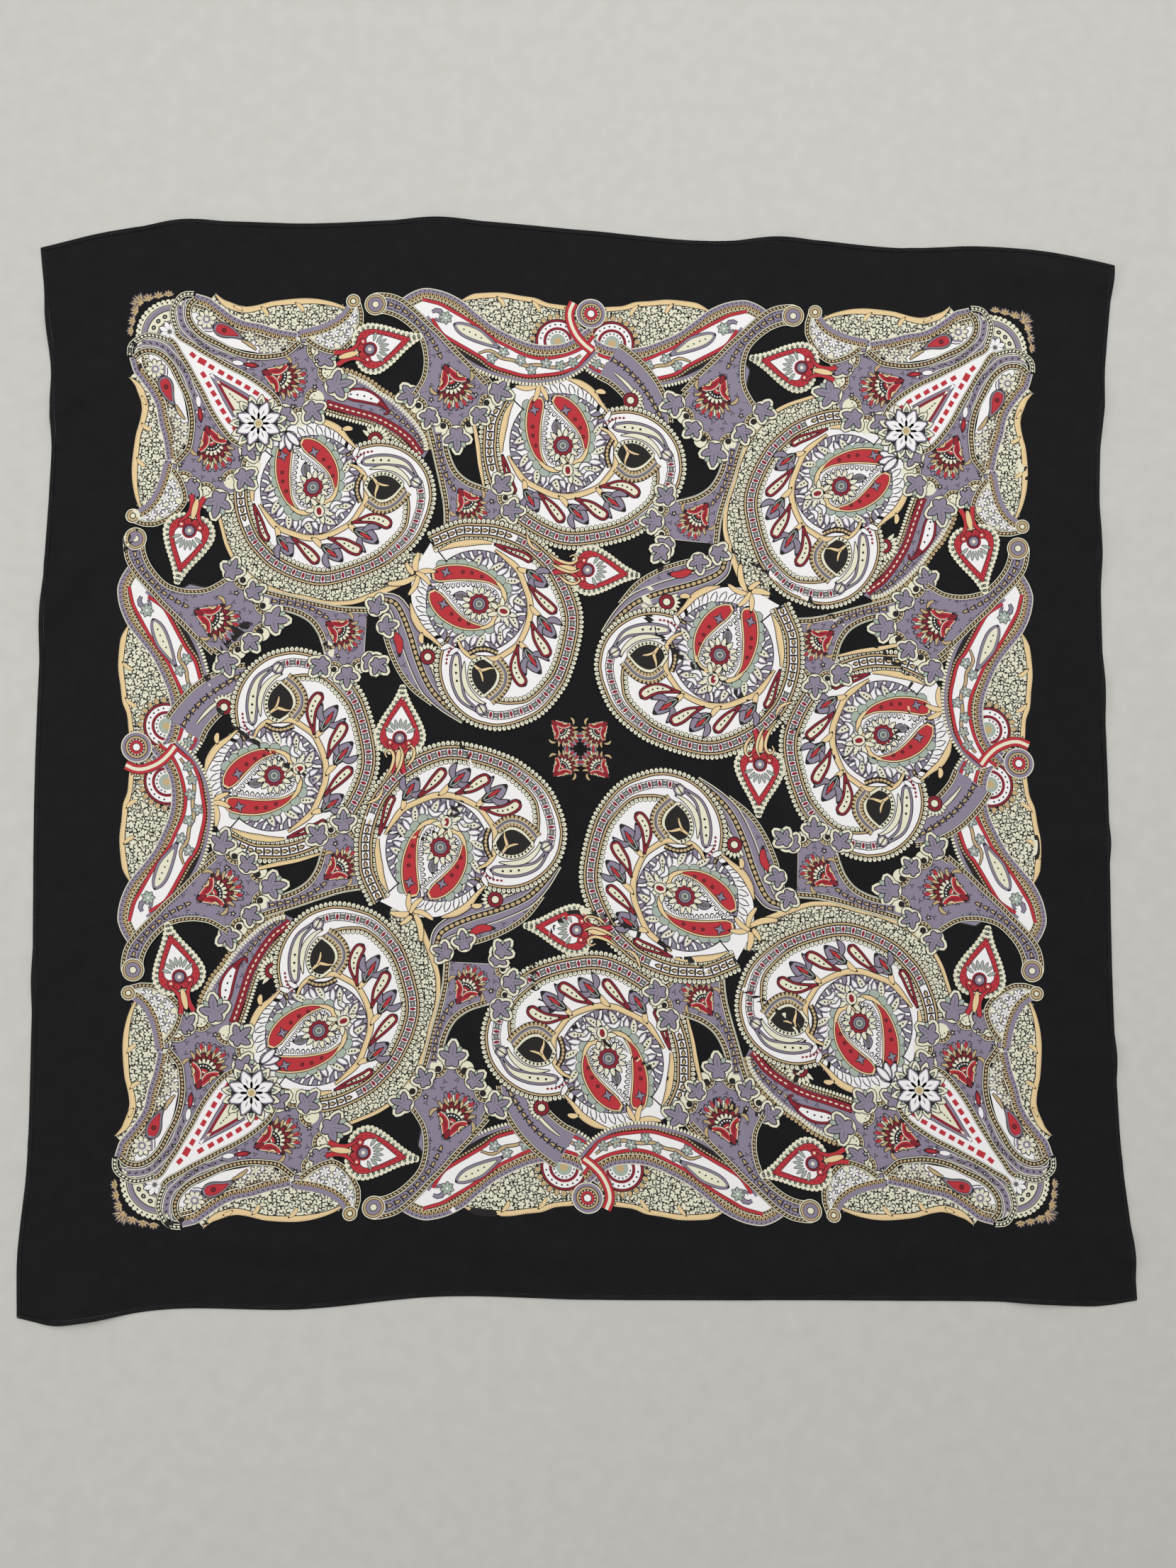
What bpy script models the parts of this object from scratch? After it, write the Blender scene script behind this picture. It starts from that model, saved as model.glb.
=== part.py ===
"""Paisley shawl, spread out flat and face up on a level surface.

It is one square of thin woven cloth, the panel, with a narrow rolled hem along each of its four
sides. The panel's underside is level wherever no fold lifts it. Metres, +Z up, +Y towards the top
hem. The origin is on the surface, under the middle of the shawl's extent.
"""

import math
from collections import namedtuple

import bmesh
import bpy
import numpy as np

# The cut: a square, measured over its finished hems
CUT = 1.100
HALF = CUT / 2
WALL = 0.0012

# The rolled hem: a flattened roll of cloth, a little thicker than the panel it edges
HEM_WIDTH = 0.0045
HEM_HEIGHT = 0.0020
SEAM_GAP = 0.0003
MITRE_GAP = SEAM_GAP / math.sqrt(2)

# How finely the cloth is divided: cells across the panel, and their crowding towards the hems
CELLS = 44
CROWDING = 0.45

# Where the four corners of the cut lie on the surface, before the whole is centred
Corner = namedtuple("Corner", "x y")
CORNERS = {
    "top_left": Corner(-0.561, 0.522),
    "top_right": Corner(0.551, 0.518),
    "bottom_left": Corner(-0.555, -0.547),
    "bottom_right": Corner(0.548, -0.541),
}

# How each side bows: at a share of its length, from left to right or bottom to top, how far it
# lies beyond the straight line between its corners, towards +X or +Y
Bow = namedtuple("Bow", "share shift")
SIDE_BOWS = {
    "top": [
        Bow(0.00, 0.000), Bow(0.06, 0.018), Bow(0.12, 0.029), Bow(0.25, 0.031), Bow(0.37, 0.038),
        Bow(0.50, 0.029), Bow(0.62, 0.020), Bow(0.69, 0.024), Bow(0.80, 0.016), Bow(0.87, 0.019),
        Bow(0.94, 0.014), Bow(1.00, 0.000),
    ],
    "bottom": [
        Bow(0.00, 0.000), Bow(0.03, -0.007), Bow(0.06, -0.004), Bow(0.12, 0.005), Bow(0.25, 0.004),
        Bow(0.37, 0.014), Bow(0.50, 0.009), Bow(0.75, 0.004), Bow(0.91, -0.001), Bow(0.965, -0.005),
        Bow(1.00, 0.000),
    ],
    "left": [
        Bow(0.00, 0.000), Bow(0.05, -0.001), Bow(0.13, 0.006), Bow(0.25, 0.008), Bow(0.50, 0.006),
        Bow(0.65, 0.009), Bow(0.87, 0.014), Bow(0.94, 0.007), Bow(1.00, 0.000),
    ],
    "right": [
        Bow(0.00, 0.000), Bow(0.05, -0.003), Bow(0.13, -0.012), Bow(0.25, -0.017),
        Bow(0.48, -0.018), Bow(0.66, -0.021), Bow(0.82, -0.018), Bow(0.93, -0.008),
        Bow(1.00, 0.000),
    ],
}
# A side's bow dies away into the cloth as this power of the distance from the opposite side
BOW_FADE = 3

# The largest folds: soft ridges between two points on the surface. Those that end past a hem lift
# the hem as well, and the others die away at both ends.
Fold = namedtuple("Fold", "start end half_width height")
FOLDS = [
    # Slanting ridges across the left border
    Fold((-0.490, 0.530), (-0.580, 0.400), 0.030, 0.0045),
    Fold((-0.462, 0.428), (-0.610, 0.296), 0.032, 0.0060),
    Fold((-0.460, 0.262), (-0.610, 0.060), 0.028, 0.0055),
    Fold((-0.490, -0.165), (-0.610, -0.280), 0.026, 0.0030),
    # Slanting ridges across the right border
    Fold((0.458, 0.490), (0.600, 0.260), 0.028, 0.0050),
    Fold((0.452, 0.340), (0.600, 0.110), 0.028, 0.0050),
    Fold((0.456, 0.162), (0.600, -0.010), 0.026, 0.0040),
    Fold((0.450, -0.090), (0.610, -0.080), 0.024, 0.0035),
    Fold((0.454, -0.290), (0.610, -0.312), 0.026, 0.0035),
    Fold((0.460, -0.450), (0.650, -0.548), 0.026, 0.0045),
    # Waves that lift the top hem, from left to right
    Fold((-0.402, 0.482), (-0.432, 0.630), 0.045, 0.0055),
    Fold((-0.160, 0.488), (-0.150, 0.640), 0.050, 0.0050),
    Fold((0.190, 0.480), (0.200, 0.630), 0.045, 0.0045),
    Fold((0.360, 0.520), (0.600, 0.500), 0.028, 0.0060),
    # Waves along the bottom border, from left to right
    Fold((-0.470, -0.500), (-0.520, -0.620), 0.045, 0.0060),
    Fold((-0.430, -0.474), (-0.190, -0.486), 0.022, 0.0040),
    Fold((-0.150, -0.464), (0.030, -0.506), 0.026, 0.0045),
    Fold((0.080, -0.520), (0.400, -0.490), 0.030, 0.0035),
    Fold((0.430, -0.500), (0.480, -0.610), 0.040, 0.0045),
    # Broad, low swells under the printed middle
    Fold((-0.380, 0.120), (-0.120, -0.060), 0.070, 0.0025),
    Fold((0.060, 0.200), (0.330, 0.020), 0.070, 0.0025),
    Fold((-0.060, -0.180), (0.220, -0.330), 0.065, 0.0025),
]
FOLD_TAPER = 0.3  # share of a fold's length over which each end dies away
LEAST_LIFT = 0.0002  # anything lower than this rests level

CLOTH_BLACK = (0.016, 0.016, 0.018)


def smoothstep(value):
    """Eases a number from 0 to 1, level at both ends."""
    eased = np.clip(value, 0.0, 1.0)
    return eased * eased * (3.0 - 2.0 * eased)


def bow_at(side, share):
    """How far a side lies off its straight line, on a smooth curve through the side's rows."""
    shares = np.array([row.share for row in SIDE_BOWS[side]])
    shifts = np.array([row.shift for row in SIDE_BOWS[side]])
    slopes = np.gradient(shifts, shares)
    index = np.clip(np.searchsorted(shares, share) - 1, 0, len(shares) - 2)
    span = shares[index + 1] - shares[index]
    along = (share - shares[index]) / span
    return (
        (2 * along**3 - 3 * along**2 + 1) * shifts[index]
        + (along**3 - 2 * along**2 + along) * span * slopes[index]
        + (3 * along**2 - 2 * along**3) * shifts[index + 1]
        + (along**3 - along**2) * span * slopes[index + 1]
    )


def spread(s, t):
    """Where the point (s, t) of the flat cut lies on the surface, before centring."""
    across, up = s / CUT + 0.5, t / CUT + 0.5
    weights = {
        "top_left": (1 - across) * up,
        "top_right": across * up,
        "bottom_left": (1 - across) * (1 - up),
        "bottom_right": across * (1 - up),
    }
    x = sum(weights[name] * corner.x for name, corner in CORNERS.items())
    y = sum(weights[name] * corner.y for name, corner in CORNERS.items())
    x = x + bow_at("left", up) * (1 - across) ** BOW_FADE + bow_at("right", up) * across**BOW_FADE
    y = y + bow_at("bottom", across) * (1 - up) ** BOW_FADE + bow_at("top", across) * up**BOW_FADE
    return x, y


def middle_of_extent():
    """The middle of the outline's extent, which goes to the origin."""
    run = np.append(lines(), HALF)
    run = np.insert(run, 0, -HALF)
    edge = np.full_like(run, HALF)
    x, y = spread(np.concatenate([run, run, edge, -edge]), np.concatenate([edge, -edge, run, run]))
    return (x.min() + x.max()) / 2, (y.min() + y.max()) / 2


def lift(x, y):
    """How far the folds raise the cloth off the surface at (x, y)."""
    height = np.zeros_like(x)
    for fold in FOLDS:
        start, end = np.array(fold.start), np.array(fold.end)
        length = np.linalg.norm(end - start)
        direction = (end - start) / length
        along = ((x - start[0]) * direction[0] + (y - start[1]) * direction[1]) / length
        aside = (x - start[0]) * direction[1] - (y - start[1]) * direction[0]
        profile = np.clip(1 - (aside / fold.half_width) ** 2, 0, 1) ** 2
        ends = smoothstep(along / FOLD_TAPER) * smoothstep((1 - along) / FOLD_TAPER)
        height = np.maximum(height, fold.height * profile * ends)
    return np.where(height < LEAST_LIFT, 0.0, height)


def lay(s, t, above=0.0):
    """The points of the flat cut as they lie: an array of x, y and z, raised by above."""
    s, t = np.asarray(s, float), np.asarray(t, float)
    x, y = spread(s, t)
    z = lift(x, y) + above
    x_middle, y_middle = middle_of_extent()
    return np.stack([x - x_middle, y - y_middle, z], axis=-1)


def lines():
    """The places of the panel's grid lines across the cut, closer together near the hems."""
    even = np.linspace(-1.0, 1.0, CELLS + 1)
    crowded = (1 - CROWDING) * even + CROWDING * np.sin(even * math.pi / 2)
    return crowded * (HALF - HEM_WIDTH - SEAM_GAP)


def cloth_material(name, colour, roughness):
    """A dull woven finish."""
    material = bpy.data.materials.new(name)
    material.use_nodes = True
    shader = material.node_tree.nodes["Principled BSDF"]
    shader.inputs["Base Color"].default_value = (*colour, 1.0)
    shader.inputs["Roughness"].default_value = roughness
    shader.inputs["Metallic"].default_value = 0.0
    return material


def add_object(name, bm, material):
    """Makes the closed body in bm an object of that name."""
    bmesh.ops.recalc_face_normals(bm, faces=bm.faces[:])
    mesh = bpy.data.meshes.new(name)
    bm.to_mesh(mesh)
    bm.free()
    mesh.shade_smooth()
    mesh.set_sharp_from_angle(angle=math.radians(40))
    mesh.materials.append(material)
    piece = bpy.data.objects.new(name, mesh)
    bpy.context.scene.collection.objects.link(piece)
    return piece


def make_panel(material):
    """The square of cloth inside the hems: a sheet laid over its folds and thickened upwards."""
    bm = bmesh.new()
    run = lines()
    s, t = np.meshgrid(run, run)
    under = [[bm.verts.new(point) for point in row] for row in lay(s, t)]
    for row in range(CELLS):
        for column in range(CELLS):
            bm.faces.new((
                under[row][column],
                under[row][column + 1],
                under[row + 1][column + 1],
                under[row + 1][column],
            ))
    raised = bmesh.ops.extrude_face_region(bm, geom=bm.faces[:])
    upper = [item for item in raised["geom"] if isinstance(item, bmesh.types.BMVert)]
    bmesh.ops.translate(bm, verts=upper, vec=(0.0, 0.0, WALL))
    return add_object("panel", bm, material)


def hem_section():
    """The rolled hem cut across, from its outer edge round under it: inset and height of each
    corner of a flattened eight-sided roll."""
    edge, flat = 0.18 * HEM_WIDTH, 0.3 * HEM_HEIGHT
    return [
        (0.0, HEM_HEIGHT - flat),
        (0.0, flat),
        (edge, 0.0),
        (HEM_WIDTH - edge, 0.0),
        (HEM_WIDTH, flat),
        (HEM_WIDTH, HEM_HEIGHT - flat),
        (HEM_WIDTH - edge, HEM_HEIGHT),
        (edge, HEM_HEIGHT),
    ]


def make_hem(name, side, material):
    """One side's rolled hem, mitred at both corners. side gives, for a distance along the side and
    an inset from it, the point of the flat cut."""
    bm = bmesh.new()
    stations = lines() / (HALF - HEM_WIDTH - SEAM_GAP)
    rings = []
    for station in stations:
        ring = []
        for inset, height in hem_section():
            reach = HALF - inset - MITRE_GAP
            s, t = side(station * reach, inset)
            ring.append(bm.verts.new(lay(s, t, height)))
        rings.append(ring)
    count = len(rings[0])
    for ring, following in zip(rings, rings[1:]):
        for k in range(count):
            after = (k + 1) % count
            bm.faces.new((ring[k], ring[after], following[after], following[k]))
    bm.faces.new(rings[0])
    bm.faces.new(reversed(rings[-1]))
    return add_object(name, bm, material)


def main():
    for old in list(bpy.data.objects):
        bpy.data.objects.remove(old)
    printed_cloth = cloth_material("printed_cloth", CLOTH_BLACK, 0.85)
    hem_cloth = cloth_material("hem_cloth", CLOTH_BLACK, 0.8)
    make_panel(printed_cloth)
    sides = {
        "hem_top": lambda along, inset: (along, HALF - inset),
        "hem_bottom": lambda along, inset: (along, inset - HALF),
        "hem_left": lambda along, inset: (inset - HALF, along),
        "hem_right": lambda along, inset: (HALF - inset, along),
    }
    for name, side in sides.items():
        make_hem(name, side, hem_cloth)


main()
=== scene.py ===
"""Paisley shawl, spread flat and face up: the fine cloth, its rolled and stitched hems, and its
printed pattern, laid over the solid model. Metres, +Z up; the print is drawn in millimetres.
"""

import math
from collections import namedtuple

import bpy
import numpy as np
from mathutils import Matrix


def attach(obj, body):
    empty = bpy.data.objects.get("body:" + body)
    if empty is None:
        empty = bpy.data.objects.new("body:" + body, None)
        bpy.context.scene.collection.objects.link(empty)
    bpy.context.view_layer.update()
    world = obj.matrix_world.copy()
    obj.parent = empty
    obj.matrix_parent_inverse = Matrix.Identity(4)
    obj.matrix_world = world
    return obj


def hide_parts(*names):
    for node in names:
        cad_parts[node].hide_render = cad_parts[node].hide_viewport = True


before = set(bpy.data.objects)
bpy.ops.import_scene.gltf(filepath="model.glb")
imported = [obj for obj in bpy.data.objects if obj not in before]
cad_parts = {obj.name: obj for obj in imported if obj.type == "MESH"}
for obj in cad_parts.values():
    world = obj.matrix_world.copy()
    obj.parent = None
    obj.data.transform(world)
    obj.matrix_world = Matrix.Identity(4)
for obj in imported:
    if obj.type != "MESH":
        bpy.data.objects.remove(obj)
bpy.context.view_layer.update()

# The cloth as it lies
CUT = 1.100
HALF = CUT / 2
WALL = 0.0012
HEM_WIDTH = 0.0045
HEM_HEIGHT = 0.0020
SEAM_GAP = 0.0003

Corner = namedtuple("Corner", "x y")
CORNERS = {
    "top_left": Corner(-0.561, 0.522),
    "top_right": Corner(0.551, 0.518),
    "bottom_left": Corner(-0.555, -0.547),
    "bottom_right": Corner(0.548, -0.541),
}

# How each side bows: share of its length, and shift towards +X or +Y
SIDE_BOWS = {
    "top": [
        (0.00, 0.000), (0.06, 0.018), (0.12, 0.029), (0.25, 0.031), (0.37, 0.038), (0.50, 0.029),
        (0.62, 0.020), (0.69, 0.024), (0.80, 0.016), (0.87, 0.019), (0.94, 0.014), (1.00, 0.000),
    ],
    "bottom": [
        (0.00, 0.000), (0.03, -0.007), (0.06, -0.004), (0.12, 0.005), (0.25, 0.004),
        (0.37, 0.014), (0.50, 0.009), (0.75, 0.004), (0.91, -0.001), (0.965, -0.005),
        (1.00, 0.000),
    ],
    "left": [
        (0.00, 0.000), (0.05, -0.001), (0.13, 0.006), (0.25, 0.008), (0.50, 0.006),
        (0.65, 0.009), (0.87, 0.014), (0.94, 0.007), (1.00, 0.000),
    ],
    "right": [
        (0.00, 0.000), (0.05, -0.003), (0.13, -0.012), (0.25, -0.017), (0.48, -0.018),
        (0.66, -0.021), (0.82, -0.018), (0.93, -0.008), (1.00, 0.000),
    ],
}
BOW_FADE = 3

# Soft ridges between two points on the surface, before the whole is centred
Fold = namedtuple("Fold", "start end half_width height")
FOLDS = [
    Fold((-0.490, 0.530), (-0.580, 0.400), 0.030, 0.0045),
    Fold((-0.462, 0.428), (-0.610, 0.296), 0.032, 0.0060),
    Fold((-0.460, 0.262), (-0.610, 0.060), 0.028, 0.0055),
    Fold((-0.490, -0.165), (-0.610, -0.280), 0.026, 0.0030),
    Fold((0.458, 0.490), (0.600, 0.260), 0.028, 0.0050),
    Fold((0.452, 0.340), (0.600, 0.110), 0.028, 0.0050),
    Fold((0.456, 0.162), (0.600, -0.010), 0.026, 0.0040),
    Fold((0.450, -0.090), (0.610, -0.080), 0.024, 0.0035),
    Fold((0.454, -0.290), (0.610, -0.312), 0.026, 0.0035),
    Fold((0.460, -0.450), (0.650, -0.548), 0.026, 0.0045),
    Fold((-0.402, 0.482), (-0.432, 0.630), 0.045, 0.0055),
    Fold((-0.160, 0.488), (-0.150, 0.640), 0.050, 0.0050),
    Fold((0.190, 0.480), (0.200, 0.630), 0.045, 0.0045),
    Fold((0.360, 0.520), (0.600, 0.500), 0.028, 0.0060),
    Fold((-0.470, -0.500), (-0.520, -0.620), 0.045, 0.0060),
    Fold((-0.430, -0.474), (-0.190, -0.486), 0.022, 0.0040),
    Fold((-0.150, -0.464), (0.030, -0.506), 0.026, 0.0045),
    Fold((0.080, -0.520), (0.400, -0.490), 0.030, 0.0035),
    Fold((0.430, -0.500), (0.480, -0.610), 0.040, 0.0045),
    Fold((-0.380, 0.120), (-0.120, -0.060), 0.070, 0.0025),
    Fold((0.060, 0.200), (0.330, 0.020), 0.070, 0.0025),
    Fold((-0.060, -0.180), (0.220, -0.330), 0.065, 0.0025),
]
FOLD_TAPER = 0.3
LEAST_LIFT = 0.0002

# Smaller creases in the plain border, added to the folds
CREASES = [
    Fold((-0.520, 0.500), (-0.556, 0.440), 0.010, 0.0010),
    Fold((-0.494, 0.385), (-0.560, 0.330), 0.009, 0.0009),
    Fold((-0.496, 0.245), (-0.562, 0.180), 0.009, 0.0011),
    Fold((-0.500, 0.080), (-0.556, 0.020), 0.008, 0.0008),
    Fold((-0.498, -0.060), (-0.556, -0.110), 0.008, 0.0007),
    Fold((-0.500, -0.330), (-0.556, -0.390), 0.009, 0.0008),
    Fold((-0.300, 0.512), (-0.240, 0.552), 0.009, 0.0008),
    Fold((-0.050, 0.515), (0.020, 0.545), 0.008, 0.0007),
    Fold((0.080, 0.512), (0.130, 0.540), 0.008, 0.0007),
    Fold((0.290, 0.500), (0.350, 0.540), 0.009, 0.0009),
    Fold((0.492, 0.430), (0.545, 0.350), 0.009, 0.0010),
    Fold((0.490, 0.275), (0.540, 0.190), 0.009, 0.0009),
    Fold((0.488, 0.070), (0.535, 0.010), 0.008, 0.0008),
    Fold((0.488, -0.170), (0.535, -0.200), 0.008, 0.0007),
    Fold((0.490, -0.380), (0.545, -0.410), 0.009, 0.0009),
    Fold((-0.380, -0.500), (-0.290, -0.528), 0.008, 0.0008),
    Fold((-0.060, -0.500), (0.020, -0.525), 0.008, 0.0008),
    Fold((0.230, -0.495), (0.320, -0.522), 0.008, 0.0007),
]

CLOTH_CELLS = 214
HEM_STATIONS = 420
STITCH_PITCH = 0.0052


def smoothstep(value):
    """Eases from 0 to 1."""
    eased = np.clip(value, 0.0, 1.0)
    return eased * eased * (3.0 - 2.0 * eased)


def bow_at(side, share):
    """How far a side lies off its straight line, on a smooth curve through the side's rows."""
    shares, shifts = np.array(SIDE_BOWS[side]).T
    slopes = np.gradient(shifts, shares)
    index = np.clip(np.searchsorted(shares, share) - 1, 0, len(shares) - 2)
    span = shares[index + 1] - shares[index]
    u = (share - shares[index]) / span
    return (
        (2 * u**3 - 3 * u**2 + 1) * shifts[index]
        + (u**3 - 2 * u**2 + u) * span * slopes[index]
        + (3 * u**2 - 2 * u**3) * shifts[index + 1]
        + (u**3 - u**2) * span * slopes[index + 1]
    )


def spread(s, t):
    """Where the point (s, t) of the flat cut lies on the surface, before centring."""
    across, up = s / CUT + 0.5, t / CUT + 0.5
    weights = {
        "top_left": (1 - across) * up,
        "top_right": across * up,
        "bottom_left": (1 - across) * (1 - up),
        "bottom_right": across * (1 - up),
    }
    x = sum(weights[name] * corner.x for name, corner in CORNERS.items())
    y = sum(weights[name] * corner.y for name, corner in CORNERS.items())
    x = x + bow_at("left", up) * (1 - across) ** BOW_FADE + bow_at("right", up) * across**BOW_FADE
    y = y + bow_at("bottom", across) * (1 - up) ** BOW_FADE + bow_at("top", across) * up**BOW_FADE
    return x, y


def ridge(fold, x, y):
    """The height of one soft ridge at (x, y)."""
    start, end = np.array(fold.start), np.array(fold.end)
    length = np.linalg.norm(end - start)
    direction = (end - start) / length
    u = ((x - start[0]) * direction[0] + (y - start[1]) * direction[1]) / length
    aside = (x - start[0]) * direction[1] - (y - start[1]) * direction[0]
    profile = np.clip(1 - (aside / fold.half_width) ** 2, 0, 1) ** 2
    return fold.height * profile * smoothstep(u / FOLD_TAPER) * smoothstep((1 - u) / FOLD_TAPER)


def lift(x, y):
    """How far the folds raise the cloth off the surface at (x, y)."""
    height = np.zeros_like(x)
    for fold in FOLDS:
        height = np.maximum(height, ridge(fold, x, y))
    for crease in CREASES:
        height = height + ridge(crease, x, y)
    return np.where(height < LEAST_LIFT, 0.0, height)


def middle_of_extent():
    """The middle of the outline's extent, which lies at the origin."""
    run = np.linspace(-HALF, HALF, 401)
    edge = np.full_like(run, HALF)
    x, y = spread(np.concatenate([run, run, edge, -edge]), np.concatenate([edge, -edge, run, run]))
    return (x.min() + x.max()) / 2, (y.min() + y.max()) / 2


MIDDLE = middle_of_extent()


def lay(s, t, above=0.0):
    """The points of the flat cut as they lie, raised by above."""
    x, y = spread(np.asarray(s, float), np.asarray(t, float))
    return np.stack([x - MIDDLE[0], y - MIDDLE[1], lift(x, y) + above], axis=-1)


# Finishes
INKS = {
    # name: colour as linear red, green and blue
    "black": (0.020, 0.017, 0.017),
    "cream": (0.75, 0.73, 0.56),
    "white": (0.84, 0.82, 0.82),
    "gold": (0.76, 0.57, 0.31),
    "tan": (0.52, 0.38, 0.20),
    "red": (0.46, 0.035, 0.045),
    "wine": (0.24, 0.018, 0.030),
    "violet": (0.248, 0.214, 0.285),
    "sage": (0.36, 0.42, 0.36),
    "grey": (0.14, 0.13, 0.13),
    "slate": (0.10, 0.088, 0.115),
}


def node(tree, kind, **settings):
    """A new shader node with its settings."""
    made = tree.nodes.new(kind)
    for name, value in settings.items():
        setattr(made, name, value)
    return made


def woven(name, colour, rough, other=None, depth=0.12):
    """Dull woven cloth: fine threads both ways raise the surface, and the tone drifts towards the
    other colour where there is one."""
    material = bpy.data.materials.new(name)
    material.use_nodes = True
    tree = material.node_tree
    shader = tree.nodes["Principled BSDF"]
    shader.inputs["Base Color"].default_value = (*colour, 1.0)
    shader.inputs["Roughness"].default_value = rough
    shader.inputs["Specular IOR Level"].default_value = 0.15
    where = node(tree, "ShaderNodeTexCoord")
    threads = []
    for scale in ((2200.0, 260.0, 1.0), (260.0, 2200.0, 1.0)):
        mapping = node(tree, "ShaderNodeMapping")
        mapping.inputs["Scale"].default_value = scale
        tree.links.new(where.outputs["Object"], mapping.inputs["Vector"])
        noise = node(tree, "ShaderNodeTexNoise")
        noise.inputs["Scale"].default_value = 1.0
        noise.inputs["Detail"].default_value = 1.0
        tree.links.new(mapping.outputs["Vector"], noise.inputs["Vector"])
        threads.append(noise.outputs["Fac"])
    higher = node(tree, "ShaderNodeMath", operation="MAXIMUM")
    tree.links.new(threads[0], higher.inputs[0])
    tree.links.new(threads[1], higher.inputs[1])
    bump = node(tree, "ShaderNodeBump")
    bump.inputs["Strength"].default_value = depth
    bump.inputs["Distance"].default_value = 0.0004
    tree.links.new(higher.outputs["Value"], bump.inputs["Height"])
    tree.links.new(bump.outputs["Normal"], shader.inputs["Normal"])
    if other is not None:
        drift = node(tree, "ShaderNodeTexNoise")
        drift.inputs["Scale"].default_value = 55.0
        drift.inputs["Detail"].default_value = 4.0
        tree.links.new(where.outputs["Object"], drift.inputs["Vector"])
        ramp = node(tree, "ShaderNodeValToRGB")
        ramp.color_ramp.elements[0].position = 0.35
        ramp.color_ramp.elements[0].color = (*colour, 1.0)
        ramp.color_ramp.elements[1].position = 0.70
        ramp.color_ramp.elements[1].color = (*other, 1.0)
        tree.links.new(drift.outputs["Fac"], ramp.inputs["Fac"])
        tree.links.new(ramp.outputs["Color"], shader.inputs["Base Color"])
    return material


# Meshes
def add_mesh(name, points, faces, material):
    """A named piece from arrays of points and of four-cornered faces."""
    points = np.asarray(points, np.float32).reshape(-1, 3)
    faces = np.asarray(faces, np.int32).reshape(-1, 4)
    mesh = bpy.data.meshes.new(name)
    mesh.vertices.add(len(points))
    mesh.vertices.foreach_set("co", points.ravel())
    mesh.loops.add(faces.size)
    mesh.loops.foreach_set("vertex_index", faces.ravel())
    mesh.polygons.add(len(faces))
    mesh.polygons.foreach_set("loop_start", np.arange(0, faces.size, 4, dtype=np.int32))
    mesh.update(calc_edges=True)
    mesh.shade_smooth()
    mesh.materials.append(material)
    piece = bpy.data.objects.new(name, mesh)
    bpy.context.scene.collection.objects.link(piece)
    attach(piece, "root")
    return piece


def grid_faces(rows, columns, start=0):
    """The faces of a grid of points, turned upwards when columns run to the right and rows up."""
    index = start + np.arange(rows * columns).reshape(rows, columns)
    corners = (index[:-1, :-1], index[:-1, 1:], index[1:, 1:], index[1:, :-1])
    return np.stack(corners, axis=-1).reshape(-1, 4)


def make_cloth(material):
    """The sheet inside the hems: a thin closed shell over the folds."""
    run = np.linspace(-1, 1, CLOTH_CELLS + 1) * (HALF - HEM_WIDTH - SEAM_GAP)
    s, t = np.meshgrid(run, run)
    upper, under = lay(s, t, WALL), lay(s, t)
    count = CLOTH_CELLS + 1
    top = grid_faces(count, count)
    bottom = grid_faces(count, count, count * count)[:, ::-1]
    index = np.arange(count * count).reshape(count, count)
    rim = np.concatenate([index[0], index[1:, -1], index[-1, -2::-1], index[-2::-1, 0]])
    below = rim + count * count
    walls = np.stack([rim[:-1], below[:-1], below[1:], rim[1:]], axis=-1)
    points = np.concatenate([upper.reshape(-1, 3), under.reshape(-1, 3)])
    piece = add_mesh("cloth", points, np.concatenate([top, bottom, walls]), material)
    piece.data.set_sharp_from_angle(angle=math.radians(50))
    return piece


SIDES = {
    "top": lambda u, inset: (u, HALF - inset),
    "bottom": lambda u, inset: (-u, inset - HALF),
    "left": lambda u, inset: (inset - HALF, u),
    "right": lambda u, inset: (HALF - inset, -u),
}


def make_hem(side, material):
    """One rolled hem, a little pinched at each stitch, mitred at both corners."""
    stations = np.linspace(-1, 1, HEM_STATIONS)
    around = np.linspace(0, 2 * math.pi, 12, endpoint=False)
    inset = HEM_WIDTH / 2 * (1 - np.sign(np.cos(around)) * np.abs(np.cos(around)) ** 0.6)
    height = HEM_HEIGHT / 2 * (1 + np.sign(np.sin(around)) * np.abs(np.sin(around)) ** 0.6)
    pinch = 1 - 0.16 * np.exp(-((np.sin(math.pi * stations * CUT / 2 / STITCH_PITCH) / 0.35) ** 2))
    wander = 1 + 0.05 * np.sin(stations * 61) + 0.03 * np.sin(stations * 143 + 1)
    reach = HALF - inset - SEAM_GAP / math.sqrt(2)
    u = stations[:, None] * reach
    press = np.minimum(pinch * wander, 1.03)[:, None]
    s, t = SIDES[side](u, np.broadcast_to(inset, u.shape))
    points = lay(s, t, height * press)
    count = len(around)
    index = np.arange(points.shape[0] * count).reshape(-1, count)
    after = np.roll(index, -1, axis=1)
    faces = np.stack([index[:-1], index[1:], after[1:], after[:-1]], axis=-1).reshape(-1, 4)
    ends = []
    for ring, way in ((index[0], 1), (index[-1], -1)):
        for k in range(count // 2 - 1):
            ends.append([ring[k], ring[k + 1], ring[count - 2 - k], ring[count - 1 - k]][::way])
    piece = add_mesh(f"rolled_hem_{side}", points, np.concatenate([faces, ends]), material)
    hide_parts(f"hem_{side}")
    return piece


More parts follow.
